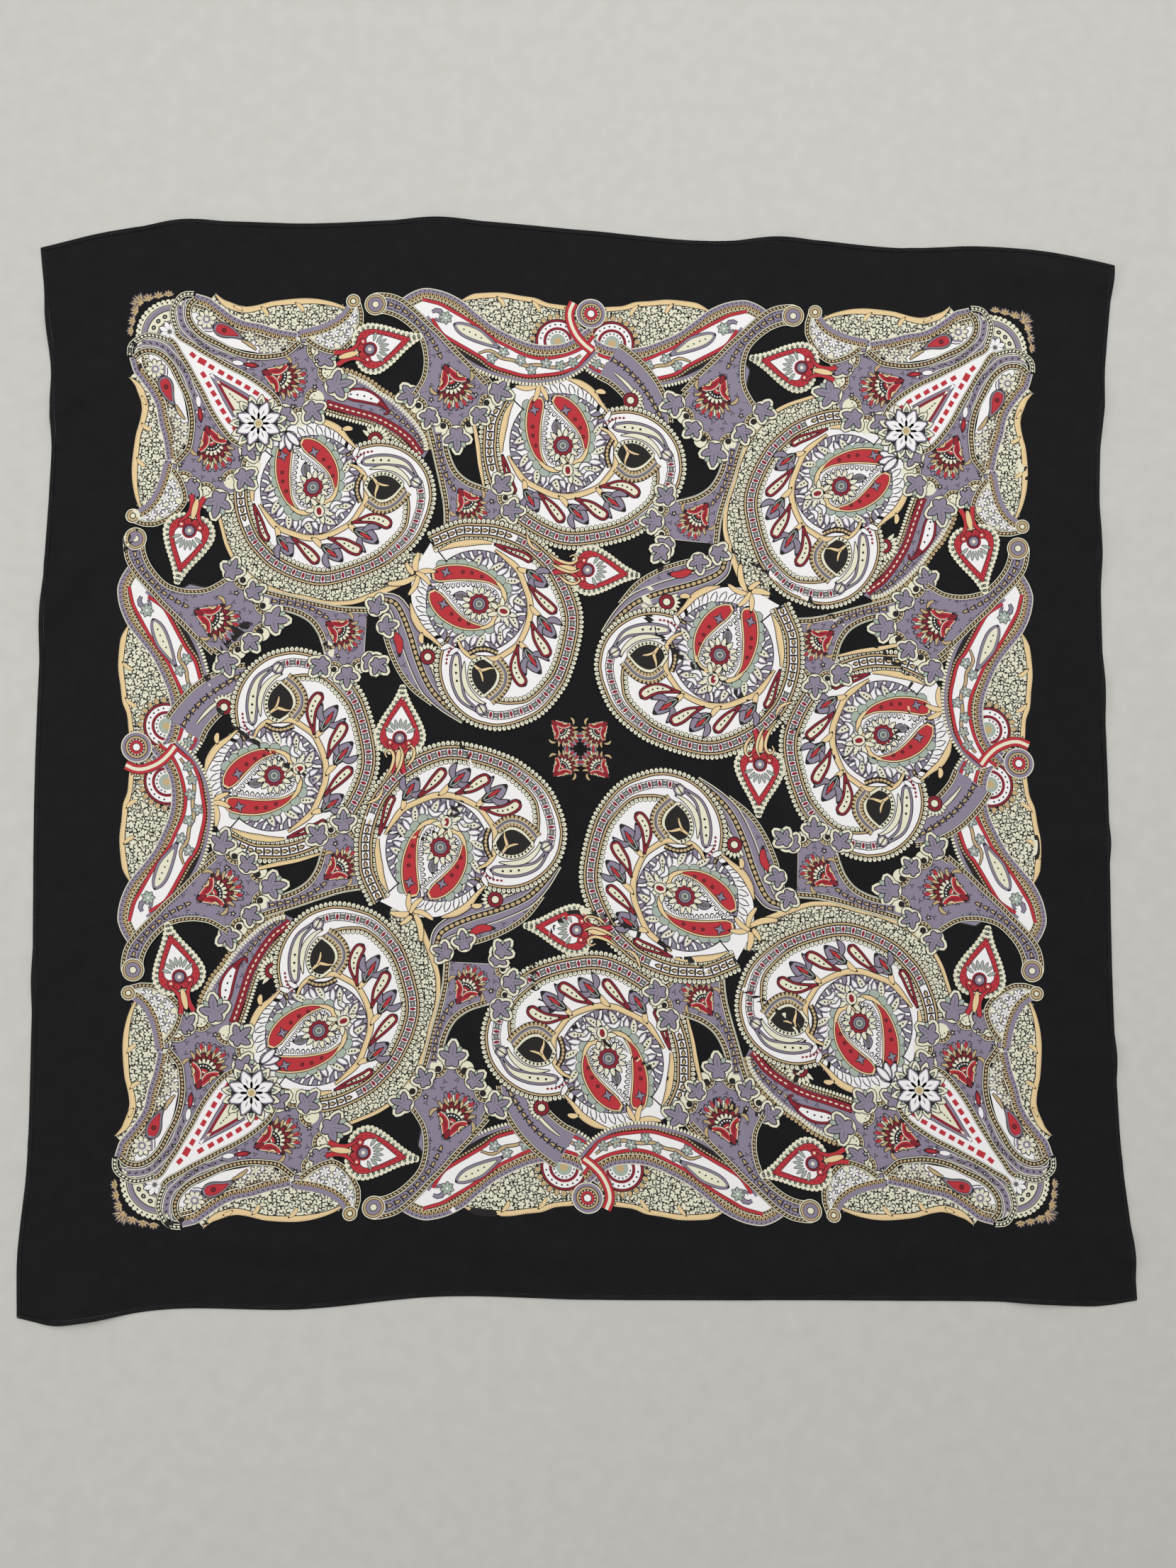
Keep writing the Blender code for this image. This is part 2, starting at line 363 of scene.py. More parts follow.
def make_stitches(side, material):
    """The hand stitches that hold one hem down: short slanting threads over its inner edge."""
    count = int(CUT / STITCH_PITCH)
    section = np.array([(0.0, 0.0), (0.00022, 0.00022), (0.0, 0.00040), (-0.00022, 0.00022)])
    # Where each thread leaves the roll, crosses its edge and enters the cloth: inset, height, shift
    run = np.array([
        (HEM_WIDTH * 0.62, HEM_HEIGHT * 0.95, 0.0),
        (HEM_WIDTH * 0.95, HEM_HEIGHT * 0.72, 0.0006),
        (HEM_WIDTH + 0.0011, WALL - 0.0001, 0.0012),
    ])
    u = -HALF + (np.arange(2, count - 2) + 0.5) * STITCH_PITCH
    along_side = u[:, None, None] + run[:, 2][:, None] + section[:, 0]
    inset = np.broadcast_to(run[:, 0][:, None], along_side.shape)
    points = lay(*SIDES[side](along_side, inset), run[:, 1][:, None] + section[:, 1])
    one = [[a, (a + 1) % 4, (a + 1) % 4 + 4, a + 4] for a in range(4)]
    one += [[a + 4, (a + 1) % 4 + 4, (a + 1) % 4 + 8, a + 8] for a in range(4)]
    one += [[3, 2, 1, 0], [8, 9, 10, 11]]
    faces = np.array(one) + 12 * np.arange(len(u))[:, None, None]
    return add_mesh(f"stitches_{side}", points, faces, material)


# Drawing with ink
CELL = 8.0  # widest piece of a fill, mm


def even(run, spacing=3.0, count=None):
    """The same line with its points evenly spaced."""
    far = np.concatenate([[0.0], np.cumsum(np.hypot(*np.diff(run, axis=0).T))])
    count = count or max(2, int(round(far[-1] / spacing)) + 1)
    at = np.linspace(0.0, far[-1], count)
    return np.stack([np.interp(at, far, run[:, 0]), np.interp(at, far, run[:, 1])], axis=-1)


def curve(*points, spacing=4.2, count=None):
    """A smooth line through a few points, as evenly spaced points."""
    p = np.asarray(points, float)
    q = np.concatenate([[2 * p[0] - p[1]], p, [2 * p[-1] - p[-2]]])
    u = np.linspace(0.0, 1.0, 12, endpoint=False)[:, None]
    spans = [
        0.5 * (2 * b + (c - a) * u + (2 * a - 5 * b + 4 * c - d) * u**2
               + (3 * b - a - 3 * c + d) * u**3)
        for a, b, c, d in zip(q, q[1:], q[2:], q[3:])
    ]
    return even(np.concatenate([*spans, p[-1:]]), spacing, count)


def left_of(path):
    """Unit vectors to the left of a line's travel."""
    way = np.gradient(path, axis=0)
    way /= np.maximum(np.hypot(way[:, 0], way[:, 1]), 1e-9)[:, None]
    return np.stack([-way[:, 1], way[:, 0]], axis=-1)


def beside(path, distance):
    """The line moved to its left by a distance, or by one distance for each point."""
    return path + left_of(path) * np.broadcast_to(distance, len(path))[:, None]


def length_of(path):
    """A line's length."""
    return float(np.hypot(*np.diff(path, axis=0).T).sum())


def spots(path, pitch, start=0.5):
    """Places about a pitch apart on a line, and the direction of travel at each as an angle."""
    far = np.concatenate([[0.0], np.cumsum(np.hypot(*np.diff(path, axis=0).T))])
    count = max(1, int(round(far[-1] / pitch)))
    at = (np.arange(count) + start) * far[-1] / count

    def point(where):
        return np.stack([np.interp(where, far, path[:, 0]), np.interp(where, far, path[:, 1])], -1)

    way = point(np.minimum(at + 0.5, far[-1])) - point(np.maximum(at - 0.5, 0))
    return point(at), np.arctan2(way[:, 1], way[:, 0])


def arc(centre, radius, start, end, spacing=2.0):
    """Part of a circle, from one angle to another in degrees."""
    count = max(4, int(abs(math.radians(end - start)) * radius / spacing) + 2)
    angle = np.radians(np.linspace(start, end, count))
    return np.stack([np.cos(angle), np.sin(angle)], axis=-1) * radius + np.asarray(centre)


# Small shapes along +X, each as two edges with the same number of points
def oval(long, wide, count=4):
    """An oval about the origin."""
    angle = np.linspace(0.25, math.pi - 0.25, count)
    upper = np.stack([long / 2 * np.cos(angle), wide / 2 * np.sin(angle)], axis=-1)
    return upper, upper * [1, -1]


def petal(long, wide, fullness=0.8, count=4):
    """Pointed at both ends, from the origin to (long, 0)."""
    u = np.linspace(0.03, 1.0, count)
    half = wide / 2 * np.sin(math.pi * np.clip(u, 0.04, 0.96)) ** fullness
    return np.stack([u * long, half], axis=-1), np.stack([u * long, -half], axis=-1)


def arch(tall, wide):
    """A small arch that stands on the line."""
    left = np.array([[-wide / 2, 0.0], [-wide / 2, tall * 0.6], [-wide * 0.2, tall]])
    return left, left * [-1, 1]


def thorn(tall, wide):
    """A thorn that stands on the line and leans forward."""
    back = np.array([[-wide / 2, 0.0], [-wide * 0.15, tall * 0.55], [wide * 0.9, tall]])
    front = np.array([[wide / 2, 0.0], [wide * 0.62, tall * 0.5], [wide * 0.98, tall]])
    return back, front


CURL = (
    np.array([[2.1, -0.3], [1.5, 1.5], [-0.3, 2.0], [-1.9, 1.0], [-2.0, -0.8]]),
    np.array([[1.2, -0.1], [0.8, 0.8], [-0.2, 1.1], [-1.0, 0.5], [-1.1, -0.5]]),
)


class Ink:
    """A drawing in millimetres of flat cloth: fills in the order of printing, each a colour and
    one or more grids of points."""

    def __init__(self):
        self.fills = []

    def between(self, colour, first, second):
        """Fills the space between two lines with the same number of points."""
        widest = np.hypot(*(first - second).T).max()
        cells = max(1, math.ceil(widest / CELL))
        share = np.linspace(0.0, 1.0, cells + 1)[None, :, None]
        self.fills.append((colour, (first[:, None] * (1 - share) + second[:, None] * share)[None]))

    def band(self, colour, path, left, right):
        """Fills between two lines beside a path, at distances to its left."""
        self.between(colour, beside(path, left), beside(path, right))

    def line(self, colour, path, width=0.7):
        """A line of ink along a path; the width may vary."""
        self.band(colour, path, np.asarray(width) / 2, -np.asarray(width) / 2)

    def lines(self, colour, path, offsets, width=0.6):
        """Thin lines beside a path."""
        for offset in offsets:
            self.line(colour, beside(path, offset), width)

    def many(self, colour, shape, places, angles, size=1.0):
        """The same small shape at many places."""
        places, angles = np.atleast_2d(np.asarray(places, float)), np.atleast_1d(angles)
        c, s = np.cos(angles), np.sin(angles)
        turn = np.stack([np.stack([c, s], -1), np.stack([-s, c], -1)], axis=1)
        turn = turn * np.reshape(size, (-1, 1, 1))
        grid = np.einsum("nmi,kij->knmj", np.stack(shape, axis=1), turn)
        self.fills.append((colour, grid + places[:, None, None]))

    def row(self, colour, shape, path, pitch, aside=0.0, turn=0.0, start=0.5):
        """The same small shape all along a line, a pitch apart."""
        places, angles = spots(beside(path, aside) if np.any(aside) else path, pitch, start)
        self.many(colour, shape, places, angles + turn)

    def star(self, colour, centre, radii, turn=0.0):
        """A closed shape about a centre, from its radii at even angles."""
        radii = np.asarray(radii, float)
        angle = turn + np.linspace(0.0, 2 * math.pi, len(radii) + 1)
        rim = np.stack([np.cos(angle), np.sin(angle)], axis=-1)
        rim *= np.append(radii, radii[0])[:, None]
        cells = max(1, math.ceil(radii.max() / CELL))
        share = np.linspace(0.0, 1.0, cells + 1)
        share[0] = 0.02
        self.fills.append((colour, (np.asarray(centre) + rim[:, None] * share[:, None])[None]))

    def disc(self, colour, centre, radius):
        """A round spot."""
        self.star(colour, centre, [radius] * max(10, int(radius * 2.4)))

    def rings(self, centre, *pairs):
        """Discs one on another, each given as its colour and radius."""
        for colour, radius in pairs:
            self.disc(colour, centre, radius)

    def place(self, other, at=(0.0, 0.0), turn=0.0, scale=1.0, flip=False, hub=(0.0, 0.0)):
        """Adds another drawing with its hub at a place: first flipped over the line from the top
        left corner to the middle if asked, then turned by degrees."""
        matrix = np.eye(2) * scale
        if flip:
            matrix = matrix @ np.array([[0.0, -1.0], [-1.0, 0.0]])
        c, s = math.cos(math.radians(turn)), math.sin(math.radians(turn))
        matrix = matrix @ np.array([[c, s], [-s, c]])
        for colour, grids in other.fills:
            self.fills.append((colour, (grids - np.asarray(hub)) @ matrix + np.asarray(at)))


# Borders. Side 1 is to the left of travel and side -1 to the right
def rope(ink, path, width=4.5, bead="tan", ground="black", edge="cream"):
    """A twisted edging: slanting beads on a dark ground between two pale lines."""
    ink.band(ground, path, width / 2 + 1.3, -width / 2 - 1.3)
    ink.lines(edge, path, (width / 2 + 0.5, -width / 2 - 0.5), 0.75)
    ink.row(bead, oval(3.1, width * 0.6, 4), path, 3.9, turn=0.5)


def picots(ink, path, tall=4.6, side=1, colour="cream"):
    """A lacy edge: round pale tips in a row on a dark ground."""
    ink.band("black", path, 0.0, side * tall * 0.7)
    tips = beside(path, side * tall * 0.6)
    ink.row("black", oval(5.2, tall * 1.45, 4), tips, 4.7)
    ink.row(colour, oval(3.9, tall * 1.12, 4), tips, 4.7)
    ink.row("black", oval(0.9, tall * 0.5, 3), beside(path, side * tall * 0.5), 4.7)


def scallops(ink, path, tall=4.4, side=1, colour="tan", pitch=4.4):
    """A row of arches on a dark band."""
    ink.band("black", path, 0.0, side * (tall + 0.8))
    ink.row(colour, arch(tall * side, pitch * 0.8), path, pitch)
    ink.row("black", arch(tall * side * 0.55, pitch * 0.32), path, pitch)


def buds(ink, path, pitch=8.6, colour="tan", size=1.0):
    """A chain of small dark buds with pale hearts, as on a violet band."""
    edge = np.array([[0.8, -3.0], [0.8, 3.0]]) * size
    bar = (edge * [-1, 1], edge)
    ink.row("black", petal(6.6 * size, 4.6 * size), path, pitch, start=0.3)
    ink.row("black", bar, path, pitch, start=0.3)
    ink.row(colour, petal(4.8 * size, 2.2 * size), path, pitch, start=0.36)


def drop(ink, spine, widths, rings):
    """A teardrop about a spine: half widths along it, and rings of colour as (inset, colour)."""
    path = curve(*spine, spacing=2.0)
    share = np.linspace(0.0, 1.0, len(path))
    half = np.interp(share, np.linspace(0.0, 1.0, len(widths)), widths)
    half = np.convolve(np.pad(half, 2, mode="edge"), np.ones(5) / 5, mode="valid")
    total = length_of(path)
    far = share * total
    for inset, colour in rings:
        keep = (far >= inset - 0.01) & (total - far >= inset * 1.6 - 0.01) & (half > inset + 0.05)
        if keep.sum() < 2:
            continue
        inner = (half - inset)[keep]
        ease = np.clip((far[keep] - inset) / max(inner.max(), 1.0), 0.0, 1.0)
        inner = inner * np.sqrt(np.clip(1 - (1 - ease) ** 2, 0.03, 1.0))
        piece, side = path[keep], left_of(path)[keep]
        ink.between(colour, piece + side * inner[:, None], piece - side * inner[:, None])


def leaf(ink, base, tip, wide, bend=0.0, rings=((0.0, "black"), (0.8, "cream"))):
    """A pointed leaf from base to tip, bent to its left."""
    base, tip = np.asarray(base, float), np.asarray(tip, float)
    way = tip - base
    middle = (base + tip) / 2 + np.array([-way[1], way[0]]) * bend
    path = curve(base, middle, tip, count=9)
    half = wide / 2 * np.sin(math.pi * np.linspace(0.03, 0.97, 9)) ** 0.8
    for inset, colour in rings:
        keep = half > inset + 0.05
        if keep.sum() >= 2:
            side = left_of(path)[keep] * (half[keep] - inset)[:, None]
            ink.between(colour, path[keep] + side, path[keep] - side)


def branch(ink, path, widths, colour="gold", hairs=True):
    """A branch that swells and tapers, outlined, with hair lines along one edge."""
    half = np.interp(np.linspace(0, 1, len(path)), np.linspace(0, 1, len(widths)), widths) / 2
    ink.band("black", path, half + 0.8, -half - 0.8)
    ink.band(colour, path, half, -half)
    if hairs:
        hair = (np.array([[-0.2, 0.0], [-0.1, 1.4]]), np.array([[0.2, 0.0], [0.1, 1.4]]))
        ink.row("black", hair, path, 2.2, aside=half - 1.4)


def thorns(ink, path, tall, wide, pitch, side=1, colour="violet"):
    """Leaning thorns all along a line, dark edged."""
    back, front = thorn(tall, wide)
    flip = [1, side]
    ink.row("black", ((back + [-0.5, 0]) * flip, (front + [0.6, 0.4]) * flip), path, pitch)
    ink.row(colour, (back * 0.85 * flip, front * 0.85 * flip), path, pitch)


def bloom(ink, centre, count, near, far, wide, colour="white", turn=0.0, outline="black"):
    """A ring of petals about a centre."""
    angles = turn + np.arange(count) * 2 * math.pi / count
    start = np.asarray(centre) + near * np.stack([np.cos(angles), np.sin(angles)], axis=-1)
    ink.many(outline, petal(far - near + 1.0, wide + 1.8), start, angles)
    ink.many(colour, petal(far - near, wide), start, angles)


def scattered(first, second, pitch, seed):
    """Uneven places about a pitch apart, between two lines."""
    ring = np.concatenate([first, second[::-1]])
    random = np.random.default_rng(seed)
    low, high = ring.min(axis=0), ring.max(axis=0)
    x, y = np.meshgrid(np.arange(low[0], high[0], pitch), np.arange(low[1], high[1], pitch))
    shift = pitch * 0.3
    dots = np.stack([x.ravel(), y.ravel()], axis=-1) + random.uniform(-shift, shift, (x.size, 2))
    inside = np.zeros(len(dots), bool)
    for a, b in zip(ring, np.roll(ring, -1, axis=0)):
        crosses = (a[1] > dots[:, 1]) != (b[1] > dots[:, 1])
        at = a[0] + (dots[:, 1] - a[1]) * (b[0] - a[0]) / ((b[1] - a[1]) or 1e-9)
        inside ^= crosses & (dots[:, 0] < at)
    dots = dots[inside]
    return dots, random.uniform(0, 6.3, len(dots))


def vermicelli(ink, first, second, seed=1):
    """A pale field filled with small dark curls, between two lines."""
    ink.between("cream", first, second)
    dots, angles = scattered(first, second, 4.0, seed)
    ink.many("sage", oval(2.6, 1.6, 3), dots + [1.9, 1.4], angles)
    ink.many("black", CURL, dots, angles[::-1], 1.15)


def seeded(ink, first, second, seed=1, pitch=10.5):
    """Small dark three-petalled flowers all over a ground, between two lines."""
    dots, angles = scattered(first, second, pitch, seed)
    for veer in (0.0, 2.1, 4.2):
        ink.many("slate", petal(2.9, 1.9, 0.8, 3), dots, angles + veer)


# The large whorl
WHORL_HUB = (-276.6, 269.0)
WHORL_CHAIN = curve(
    (-339, 318), (-347, 299), (-351, 286), (-351, 273), (-350, 256), (-345, 238), (-336, 219),
    (-327, 208), (-316, 197), (-305, 190), (-293, 184), (-283, 180), (-268, 176), (-253, 176),
    (-235, 180), (-219, 185), (-203, 192), (-192, 200), (-183, 208), (-176, 216), (-171, 225),
    (-166, 242), (-165, 250), (-165, 259), (-170, 275), (-181, 288), (-196, 296), (-212, 298),
    (-228, 295), (-240, 288),
)


def rosy_drop(ink, *spine, wide=5.5):
    """A pale drop in a red outline, dotted along its middle."""
    drop(ink, spine, [1.2, 3, wide * 0.8, wide, wide, wide * 0.9][::-1],
         [(0, "black"), (0.8, "wine"), (2.5, "black"), (3.2, "cream")])
    path = curve(*spine)
    ink.many("black", oval(2.0, 2.2, 4), *spots(path[2:len(path) * 2 // 3], 4.8))


def violet_bloom(ink, base, tip, wide=15):
    """A violet bud between two side leaves, with a red heart."""
    base, tip = np.asarray(base, float), np.asarray(tip, float)
    way = tip - base
    leaf(ink, base, tip, wide, 0.05, [(0, "black"), (1.1, "violet")])
    side = np.array([-way[1], way[0]]) * 0.45
    leaf(ink, base + way * 0.3, base + way * 0.8 + side, wide * 0.5, 0.2,
         [(0, "black"), (1.0, "violet")])
    leaf(ink, base + way * 0.3, base + way * 0.8 - side, wide * 0.5, -0.2,
         [(0, "black"), (1.0, "violet")])
    leaf(ink, base, base + way * 0.72, wide * 0.5, 0.0,
         [(0, "black"), (0.8, "sage"), (1.8, "black")])
    leaf(ink, base + way * 0.2, base + way * 0.78, wide * 0.3, 0.0, [(0, "black"), (0.7, "red")])


def draw_whorl():
    """The whorl: a ball in rings of leaves, drops and buds, in a chained rim with an eye."""
    ink = Ink()
    hub = np.array(WHORL_HUB)
    rim = WHORL_CHAIN
    share = np.linspace(0, 1, len(rim))
    half = np.interp(share, [0, 0.56, 0.68, 0.76, 0.86, 0.93, 1],
                     [4.6, 4.6, 6.4, 8.6, 9.6, 11.6, 11])
    # The white ground, out to the rim and round the crown of the ball
    crown = curve((-246, 305), (-247, 316), (-258, 329), (-283, 337), (-310, 334), (-339, 318))
    middle = hub + [12, -12]
    for colour, grow in (("black", 2.6), ("white", 1.6)):
        outline = even(np.concatenate([beside(rim, -half - grow), crown]), count=160)
        ink.between(colour, outline, np.broadcast_to(middle, outline.shape))
    # The rim: lace, a pale chained band between tan lines, and lace again
    lower = len(rim) * 81 // 100
    chain, inner = rim[:lower], half[:lower]
    inner = inner + np.interp(share[:lower], [0, 0.70, 0.81], [0, 0, 7])
    picots(ink, beside(rim, -half - 1.8), 4.6, -1)
    picots(ink, beside(chain, inner + 1.8), 4.2, 1)
    for path, edge in ((rim, -half), (chain, inner)):
        ink.line("black", beside(path, edge + 1.0 * np.sign(edge)), 3.4)
        ink.line("tan", beside(path, edge + 1.0 * np.sign(edge)), 1.5)
    ink.lines("black", chain, (3.9, -3.9), 0.7)
    start = len(chain) // 4
    buds(ink, chain[:start], 8.6, "tan", 1.1)
    bone = (np.array([[-3.2, 3.2], [-1.4, 1.9], [1.4, 1.9], [3.2, 3.2]]),
            np.array([[-3.2, -3.2], [-1.4, -1.9], [1.4, -1.9], [3.2, -3.2]]))
    ink.row("black", (bone[0] + [0, 0.5], bone[1] - [0, 0.5]), chain[start:], 10.4)
    ink.row("grey", bone, chain[start:], 10.4)
    ink.row("sage", oval(3.4, 1.8, 3), chain[start:], 10.4)
    ink.row("wine", oval(3.0, 6.6, 4), chain[start:], 10.4, start=1.0)
    # Feathered ring round the ball
    crown_leaves = arc(hub + [-3, 2], 50, 18, 112)
    ink.row("black", petal(13.6, 7.0), crown_leaves, 8.6, turn=-1.0)
    ink.row("white", petal(12.6, 4.9), crown_leaves, 8.6, turn=-1.0)
    ring = arc(hub + [-3, 2], 51, 18, 388)
    ink.line("black", ring, 1.3)
    thorns(ink, ring, 10.6, 5.6, 9.2, 1)
    inside = arc(hub + [-2, 1], 33, 96, 424)
    for start, colour, long, wide, lean in ((0.5, "cream", 18.5, 8.6, -0.85),
                                            (0.0, "white", 13.5, 6.4, -1.15)):
        ink.row("black", petal(long + 1.0, wide + 1.6), inside, 17, turn=lean, start=start)
        ink.row("violet", petal(long, wide), inside, 17, turn=lean, start=start)
        ink.row(colour, petal(long - 1.6, wide - 2.4), inside, 17, turn=lean, start=start)
    dots, angles = spots(inside, 17)
    way = np.stack([np.cos(angles - 0.85), np.sin(angles - 0.85)], axis=-1)
    for reach in (5.4, 8.6, 11.8):
        ink.many("black", oval(2.0, 2.0, 4), dots + way * reach, angles)
    # Grey-green scallops, and the white heart that the red drops clasp
    edge_left = curve((-316, 312), (-318, 298), (-317.5, 284), (-312, 267), (-305, 253),
                      (-297, 243), (-287, 238), (-277, 239))
    edge_right = curve((-264, 250), (-254, 254), (-249.5, 266), (-249, 280), (-253, 296),
                       (-262, 310), (-274, 321))
    for edge in (edge_left, edge_right):
        ink.row("black", oval(11.6, 10.0, 6), edge, 10.5)
        ink.row("sage", oval(10.6, 8.6, 6), edge, 10.5)
    heart = curve((-298, 314), (-300, 293), (-301, 277), (-298, 262), (-291, 250), (-280, 246),
                  (-272, 252))
    heart_right = curve((-296, 312), (-280, 299), (-266, 288), (-257, 276), (-255, 264),
                        (-262, 256), (-271, 254), count=len(heart))
    ink.between("white", heart, heart_right)
    for edge, sign in ((heart, 1), (heart_right, -1)):
        ink.row("black", arch(sign * 5.6, 4.4), beside(edge, sign * 1.6), 5.4)
        ink.row("white", arch(sign * 4.4, 2.8), beside(edge, sign * 1.6), 5.4)
        ink.row("black", arch(sign * 2.4, 1.0), beside(edge, sign * 1.6), 5.4)
    edges = [(0, "black"), (0.7, "gold"), (2.0, "black"), (2.6, "red")]
    drop(ink, [(-306, 318), (-307.5, 306), (-308.5, 295), (-308, 282), (-305, 268), (-300, 256),
               (-291, 246)], [7, 9, 9, 8.2, 6.4, 4.2, 1.6], edges)
    drop(ink, [(-293, 317), (-284, 313), (-271, 304), (-260, 291), (-254.5, 278), (-253, 262)],
         [5, 9.4, 9.4, 7.4, 4.8, 1.6], edges)
    curls = (
        curve((-298, 250), (-290, 244.5), (-280, 243.5), (-273.4, 250), (-273.4, 258),
              (-277, 262.5), (-283, 262)),
        curve((-252, 268), (-254, 261), (-258, 255.5), (-264, 253.5), (-271, 257), (-273, 263),
              (-271, 268), (-265, 270)),
    )
    for curl in curls:
        branch(ink, curl, [2.6, 4.0, 4.6, 4.2, 2.4], hairs=False)
    for place in ((-309, 302), (-277, 305)):
        ink.star("black", place, [6.6, 3.2] * 4, 0.3)
        ink.star("violet", place, [5.4, 2.0] * 4, 0.3)
    for place in ((-309, 285), (-308, 276), (-304, 266), (-267, 297), (-261, 289), (-257, 280)):
        ink.disc("black", place, 2.0)
        ink.disc("wine", place, 1.2)
    leaf(ink, (-286, 295), (-284, 279), 10, 0.0, [(0, "black"), (0.9, "violet"), (2.4, "grey")])
    ball = (-276.6, 269)
    bloom(ink, ball, 13, 8, 17.4, 4.4, "cream")
    ink.star("black", ball, [11.4, 9.6] * 11)
    ink.star("wine", ball, [10.6, 8.8] * 11)
    ink.rings(ball, ("black", 7.0), ("violet", 6.2), ("black", 4.6), ("sage", 3.8), ("grey", 2.0))
    # Lotus below the clasp
    bloom(ink, (-268, 246), 7, 4, 15, 4.6, "cream", turn=-2.2)
    leaf(ink, (-271, 252), (-267, 237), 12, 0, [(0, "black"), (0.9, "cream"), (3.4, "wine")])
    # Scrolls beside the clasp
    for base, tip, bend in (((-258, 243), (-244, 251), 0.35), ((-287, 228), (-271, 234), 0.35),
                            ((-252, 236), (-240, 244), 0.3)):
        leaf(ink, base, tip, 6, bend, [(0, "slate"), (1.2, "white")])
    # The golden branch
    branch(ink, curve((-331, 309), (-336, 296), (-338, 282), (-339, 268), (-338, 256)),
           [1, 5, 6, 5, 2])
    branch(ink, curve((-331, 253), (-321, 240), (-313, 231), (-306, 227), (-293, 222),
                      (-280, 218), (-266, 218), (-255, 221), (-244, 226), (-235, 232),
                      (-228, 242), (-222, 253), (-222, 266), (-224, 278), (-231, 287),
                      (-240, 291)),
           [1.5, 5.4, 4.8, 5.6, 5, 4.4, 4.8, 4.6, 2])
    branch(ink, curve((-279, 338), (-266, 335), (-253, 328), (-244, 318), (-234, 308)),
           [1, 6, 6.4, 4, 1.5])
    for base, tip in (((-313, 231), (-310, 217)), ((-276, 218), (-264, 206)),
                      ((-239, 230), (-230, 220)), ((-250, 327), (-237, 327))):
        leaf(ink, base, tip, 6, 0.1, [(0, "black"), (0.6, "gold")])
    # Drops and blossoms between the branch and the rim
    violet_bloom(ink, (-311, 221), (-294, 199))
    violet_bloom(ink, (-265, 210), (-242, 192))
    violet_bloom(ink, (-233, 225), (-206, 209))
    rosy_drop(ink, (-319, 215), (-325, 224), (-330, 237), (-337, 254), wide=4.6)
    rosy_drop(ink, (-267, 191), (-273, 198), (-283, 208), (-296, 219), wide=6.0)
    rosy_drop(ink, (-222, 201), (-232, 205), (-244, 212), (-259, 217), wide=6.6)
    rosy_drop(ink, (-194, 225), (-203, 232), (-215, 235), (-236, 231), wide=6.6)
    # The dotted drop that heads the inner arm, and its beads
    drop(ink, [(-229, 293), (-214, 294.5), (-198, 294), (-182, 289), (-170, 275)],
         [4.2, 6.8, 6.4, 4.4, 2.4], [(0, "black"), (0.8, "violet"), (2.4, "black"), (3.1, "cream")])
    ink.many("black", oval(2.6, 2.6), [(-216, 294.5), (-208, 294.5), (-200, 294)], [0, 0, 0])
    drop(ink, [(-220, 285.5), (-206, 287), (-192, 284), (-181, 275), (-176, 266)],
         [0.8, 2.8, 3.2, 2.8, 1.2], [(0, "black"), (0.8, "cream")])
    ink.row("wine", oval(2.8, 2.4, 4), curve((-237, 295), (-228, 302), (-216, 304)), 4.0)
    ink.disc("black", (-171, 271), 6.2)
    ink.disc("violet", (-171, 271), 5.4)
    ink.disc("cream", (-171, 271), 3.8)
    ink.line("black", curve((-176, 274), (-166, 268)), 1.2)
    # The eye: a black almond edged in lace, with a golden sprout and a corded lid
    upper = curve((-221, 267), (-218, 275), (-207, 279), (-195, 276), (-186, 268))
    lower = curve((-221, 266), (-214, 257), (-204, 253.5), (-194, 258), (-186, 267),
                  count=len(upper))
    ink.between("black", beside(upper, 4.4), beside(lower, -3.4))
    ink.between("cream", beside(upper, 3.6), beside(lower, -2.6))
    ink.between("black", upper, lower)
    ink.row("black", arch(2.6, 1.8), beside(upper, 0.4), 3.8)
    branch(ink, curve((-215, 276), (-210, 269), (-212, 262), (-212, 256)), [2, 3, 2.4, 0.6],
           hairs=False)
    branch(ink, curve((-211, 272), (-206, 269), (-199, 268)), [1, 2.4, 0.8], hairs=False)
    lid = curve((-220, 253), (-209, 245.5), (-198, 245.5), (-188, 252), (-180, 262))
    ink.line("black", lid, 12)
    ink.row("tan", arch(3.6, 2.8), beside(lid, 2.0), 3.8)
    ink.line("cream", lid, 4.4)
    ink.line("grey", lid, 3.2)
    ink.line("violet", beside(lid, 0.6), 1.0)
    ink.row("tan", arch(-3.6, 2.8), beside(lid, -2.0), 3.8)
    side_lid = curve((-227, 281), (-231, 272), (-231, 262), (-227, 252))
    ink.line("black", side_lid, 6)
    ink.row("tan", oval(4.8, 3.0, 3), side_lid, 3.8)
    return ink


def white_petals(ink, at, turn=0.0):
    """Three white petals that spread from a place."""
    for angle in (-0.55, 0.0, 0.55):
        way = np.array([math.cos(turn + angle), math.sin(turn + angle)])
        leaf(ink, np.asarray(at) - way * 2, np.asarray(at) + way * 21, 9.5, 0.0,
             [(0, "black"), (0.9, "violet"), (2.0, "white")])


